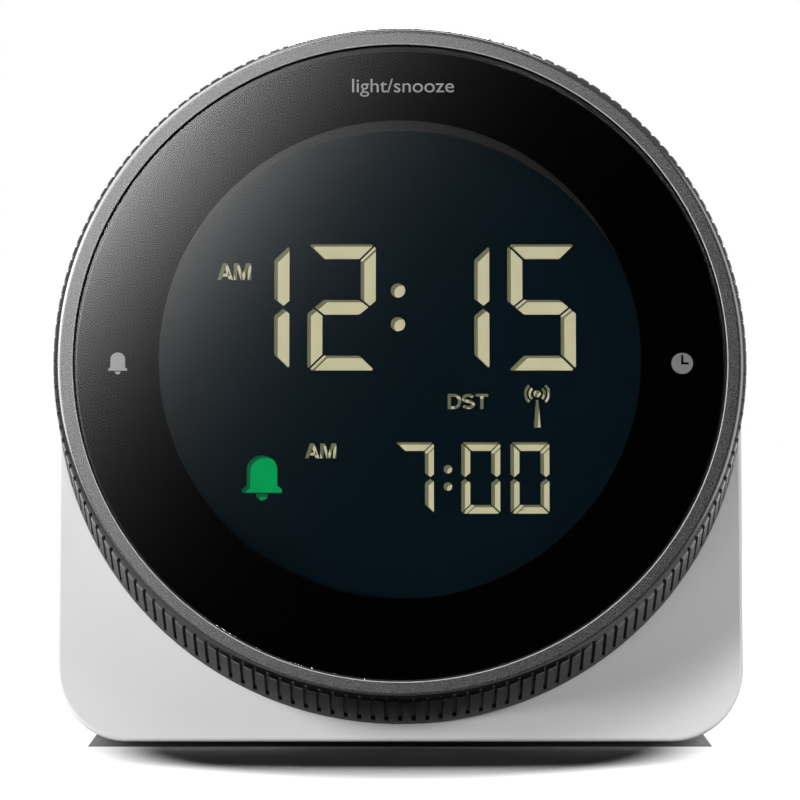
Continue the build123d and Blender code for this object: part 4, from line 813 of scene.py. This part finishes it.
card_centre = face_centre + mirror_out * CARD_DISTANCE + face_right * CARD_X + mirror_up * CARD_UP
card = sheet("graded_card", CARD_HALF, frame_of(card_centre, face_right, mirror_up, mirror_out))
card.visible_camera = False
card.light_linking.receiver_collection = linked("not_floor_or_house", [floor, house], "EXCLUDE")
card_material = bpy.data.materials.new("graded_card")
card_material.use_nodes = True
tree = card_material.node_tree
tree.nodes.clear()
place = add_node(tree, "ShaderNodeTexCoord")
slope = add_node(tree, "ShaderNodeVectorMath", operation="DOT_PRODUCT")
slope.inputs[1].default_value = (-1 / CARD_FADE_X, 1 / CARD_FADE_UP, 0.0)
fade = add_node(tree, "ShaderNodeMath", operation="EXPONENT")
level = add_node(tree, "ShaderNodeMath", operation="MULTIPLY")
level.inputs[1].default_value = CARD_MIDDLE * math.exp(CARD_UP / CARD_FADE_UP - CARD_X / CARD_FADE_X)
peak = add_node(tree, "ShaderNodeMath", operation="MINIMUM")
peak.inputs[1].default_value = CARD_PEAK
glow = add_node(tree, "ShaderNodeEmission")
output = add_node(tree, "ShaderNodeOutputMaterial")
tree.links.new(place.outputs["Object"], slope.inputs[0])
tree.links.new(slope.outputs["Value"], fade.inputs[0])
tree.links.new(fade.outputs["Value"], level.inputs[0])
tree.links.new(level.outputs["Value"], peak.inputs[0])
tree.links.new(peak.outputs["Value"], glow.inputs["Strength"])
tree.links.new(glow.outputs["Emission"], output.inputs["Surface"])
card.data.materials.append(card_material)

for name, azimuth, elevation, distance, width, height, power, lit in LAMPS:
    lamp_data = bpy.data.lights.new(name, "AREA")
    lamp_data.shape = "RECTANGLE"
    lamp_data.size = width
    lamp_data.size_y = height
    lamp_data.energy = power
    lamp = bpy.data.objects.new(name, lamp_data)
    scene.collection.objects.link(lamp)
    turn = math.radians(azimuth)
    rise = math.radians(elevation)
    way = Vector((math.sin(turn) * math.cos(rise), -math.cos(turn) * math.cos(rise), math.sin(rise)))
    lamp.location = face_centre + way * distance
    lamp.rotation_euler = way.to_track_quat("Z", "Y").to_euler()
    lamp.visible_camera = False
    lamp.visible_glossy = lit != "house"
    lamp.light_linking.receiver_collection = LIT[lit]

# A small lamp before each end of the foot, which leaves its middle in the shade
FOOT_LAMP_AHEAD = 3.0 * MM
FOOT_LAMP_UP = 1.0 * MM
FOOT_LAMP_POWER = 0.00105
foot_right = max(vertex.co.x for vertex in foot.data.vertices)
foot_front = min(vertex.co.y for vertex in foot.data.vertices)
for side in (-1, 1):
    lamp_data = bpy.data.lights.new("foot_end", "POINT")
    lamp_data.energy = FOOT_LAMP_POWER
    lamp_data.shadow_soft_size = FOOT_LAMP_UP
    lamp = bpy.data.objects.new("foot_end", lamp_data)
    scene.collection.objects.link(lamp)
    lamp.location = (side * foot_right, foot_front - FOOT_LAMP_AHEAD, FOOT_LAMP_UP)
    lamp.visible_camera = False
    lamp.light_linking.receiver_collection = LIT["foot"]

# Floor: pale grey under its lamp, glowing white for camera, glossy and transmission rays; the glow fades in with
# an oval distance from the clock, painted light that whitens the outer sides of the clock's shadow
floor_material, tree, shader = new_material("floor")
shader.inputs["Base Color"].default_value = FLOOR_COLOUR
shader.inputs["Roughness"].default_value = 1.0
shader.inputs["Specular IOR Level"].default_value = 0.0
path = add_node(tree, "ShaderNodeLightPath")
seen = add_node(tree, "ShaderNodeMath", operation="MAXIMUM")
seen_too = add_node(tree, "ShaderNodeMath", operation="MAXIMUM")
place = add_node(tree, "ShaderNodeTexCoord")
oval = add_node(tree, "ShaderNodeVectorMath", operation="MULTIPLY")
oval.inputs[1].default_value = FLOOR_STRETCH
reach = add_node(tree, "ShaderNodeVectorMath", operation="LENGTH")
rise = add_node(tree, "ShaderNodeMapRange", interpolation_type="SMOOTHSTEP",
                from_min=FLOOR_NEAR, from_max=FLOOR_FAR, to_min=FLOOR_LIFT_NEAR, to_max=FLOOR_LIFT_FAR)
lift = add_node(tree, "ShaderNodeMath", operation="MULTIPLY")
tree.links.new(place.outputs["Object"], oval.inputs[0])
tree.links.new(oval.outputs["Vector"], reach.inputs[0])
tree.links.new(reach.outputs["Value"], rise.inputs["Value"])
tree.links.new(rise.outputs["Result"], lift.inputs[1])
tree.links.new(path.outputs["Is Camera Ray"], seen.inputs[0])
tree.links.new(path.outputs["Is Glossy Ray"], seen.inputs[1])
tree.links.new(seen.outputs["Value"], seen_too.inputs[0])
tree.links.new(path.outputs["Is Transmission Ray"], seen_too.inputs[1])
tree.links.new(seen_too.outputs["Value"], lift.inputs[0])
shader.inputs["Emission Color"].default_value = WHITE
tree.links.new(lift.outputs["Value"], shader.inputs["Emission Strength"])
floor.data.materials.append(floor_material)

world = bpy.data.worlds.new("room")
scene.world = world
world.use_nodes = True
tree = world.node_tree
tree.nodes.clear()
path = add_node(tree, "ShaderNodeLightPath")
place = add_node(tree, "ShaderNodeTexCoord")
towards = add_node(tree, "ShaderNodeVectorMath", operation="DOT_PRODUCT")
towards.inputs[1].default_value = mirror_out
flag = add_node(tree, "ShaderNodeMapRange", interpolation_type="SMOOTHSTEP",
                from_min=FLAG_WIDE, from_max=FLAG_NARROW, to_min=1.0, to_max=0.0)
seen = add_node(tree, "ShaderNodeMath", operation="MAXIMUM")
level = add_node(tree, "ShaderNodeMapRange", to_min=ROOM, to_max=1.0)
flagged = add_node(tree, "ShaderNodeMath", operation="MULTIPLY")
clear = add_node(tree, "ShaderNodeMath", operation="MAXIMUM")
backdrop = add_node(tree, "ShaderNodeBackground", color=WHITE)
output = add_node(tree, "ShaderNodeOutputWorld")
tree.links.new(place.outputs["Generated"], towards.inputs[0])
tree.links.new(towards.outputs["Value"], flag.inputs["Value"])
tree.links.new(path.outputs["Is Glossy Ray"], seen.inputs[0])
tree.links.new(path.outputs["Is Transmission Ray"], seen.inputs[1])
tree.links.new(seen.outputs["Value"], level.inputs["Value"])
tree.links.new(level.outputs["Result"], flagged.inputs[0])
tree.links.new(flag.outputs["Result"], flagged.inputs[1])
tree.links.new(flagged.outputs["Value"], clear.inputs[0])
tree.links.new(path.outputs["Is Camera Ray"], clear.inputs[1])
tree.links.new(clear.outputs["Value"], backdrop.inputs["Strength"])
tree.links.new(backdrop.outputs["Background"], output.inputs["Surface"])

scene.view_settings.view_transform = "Standard"
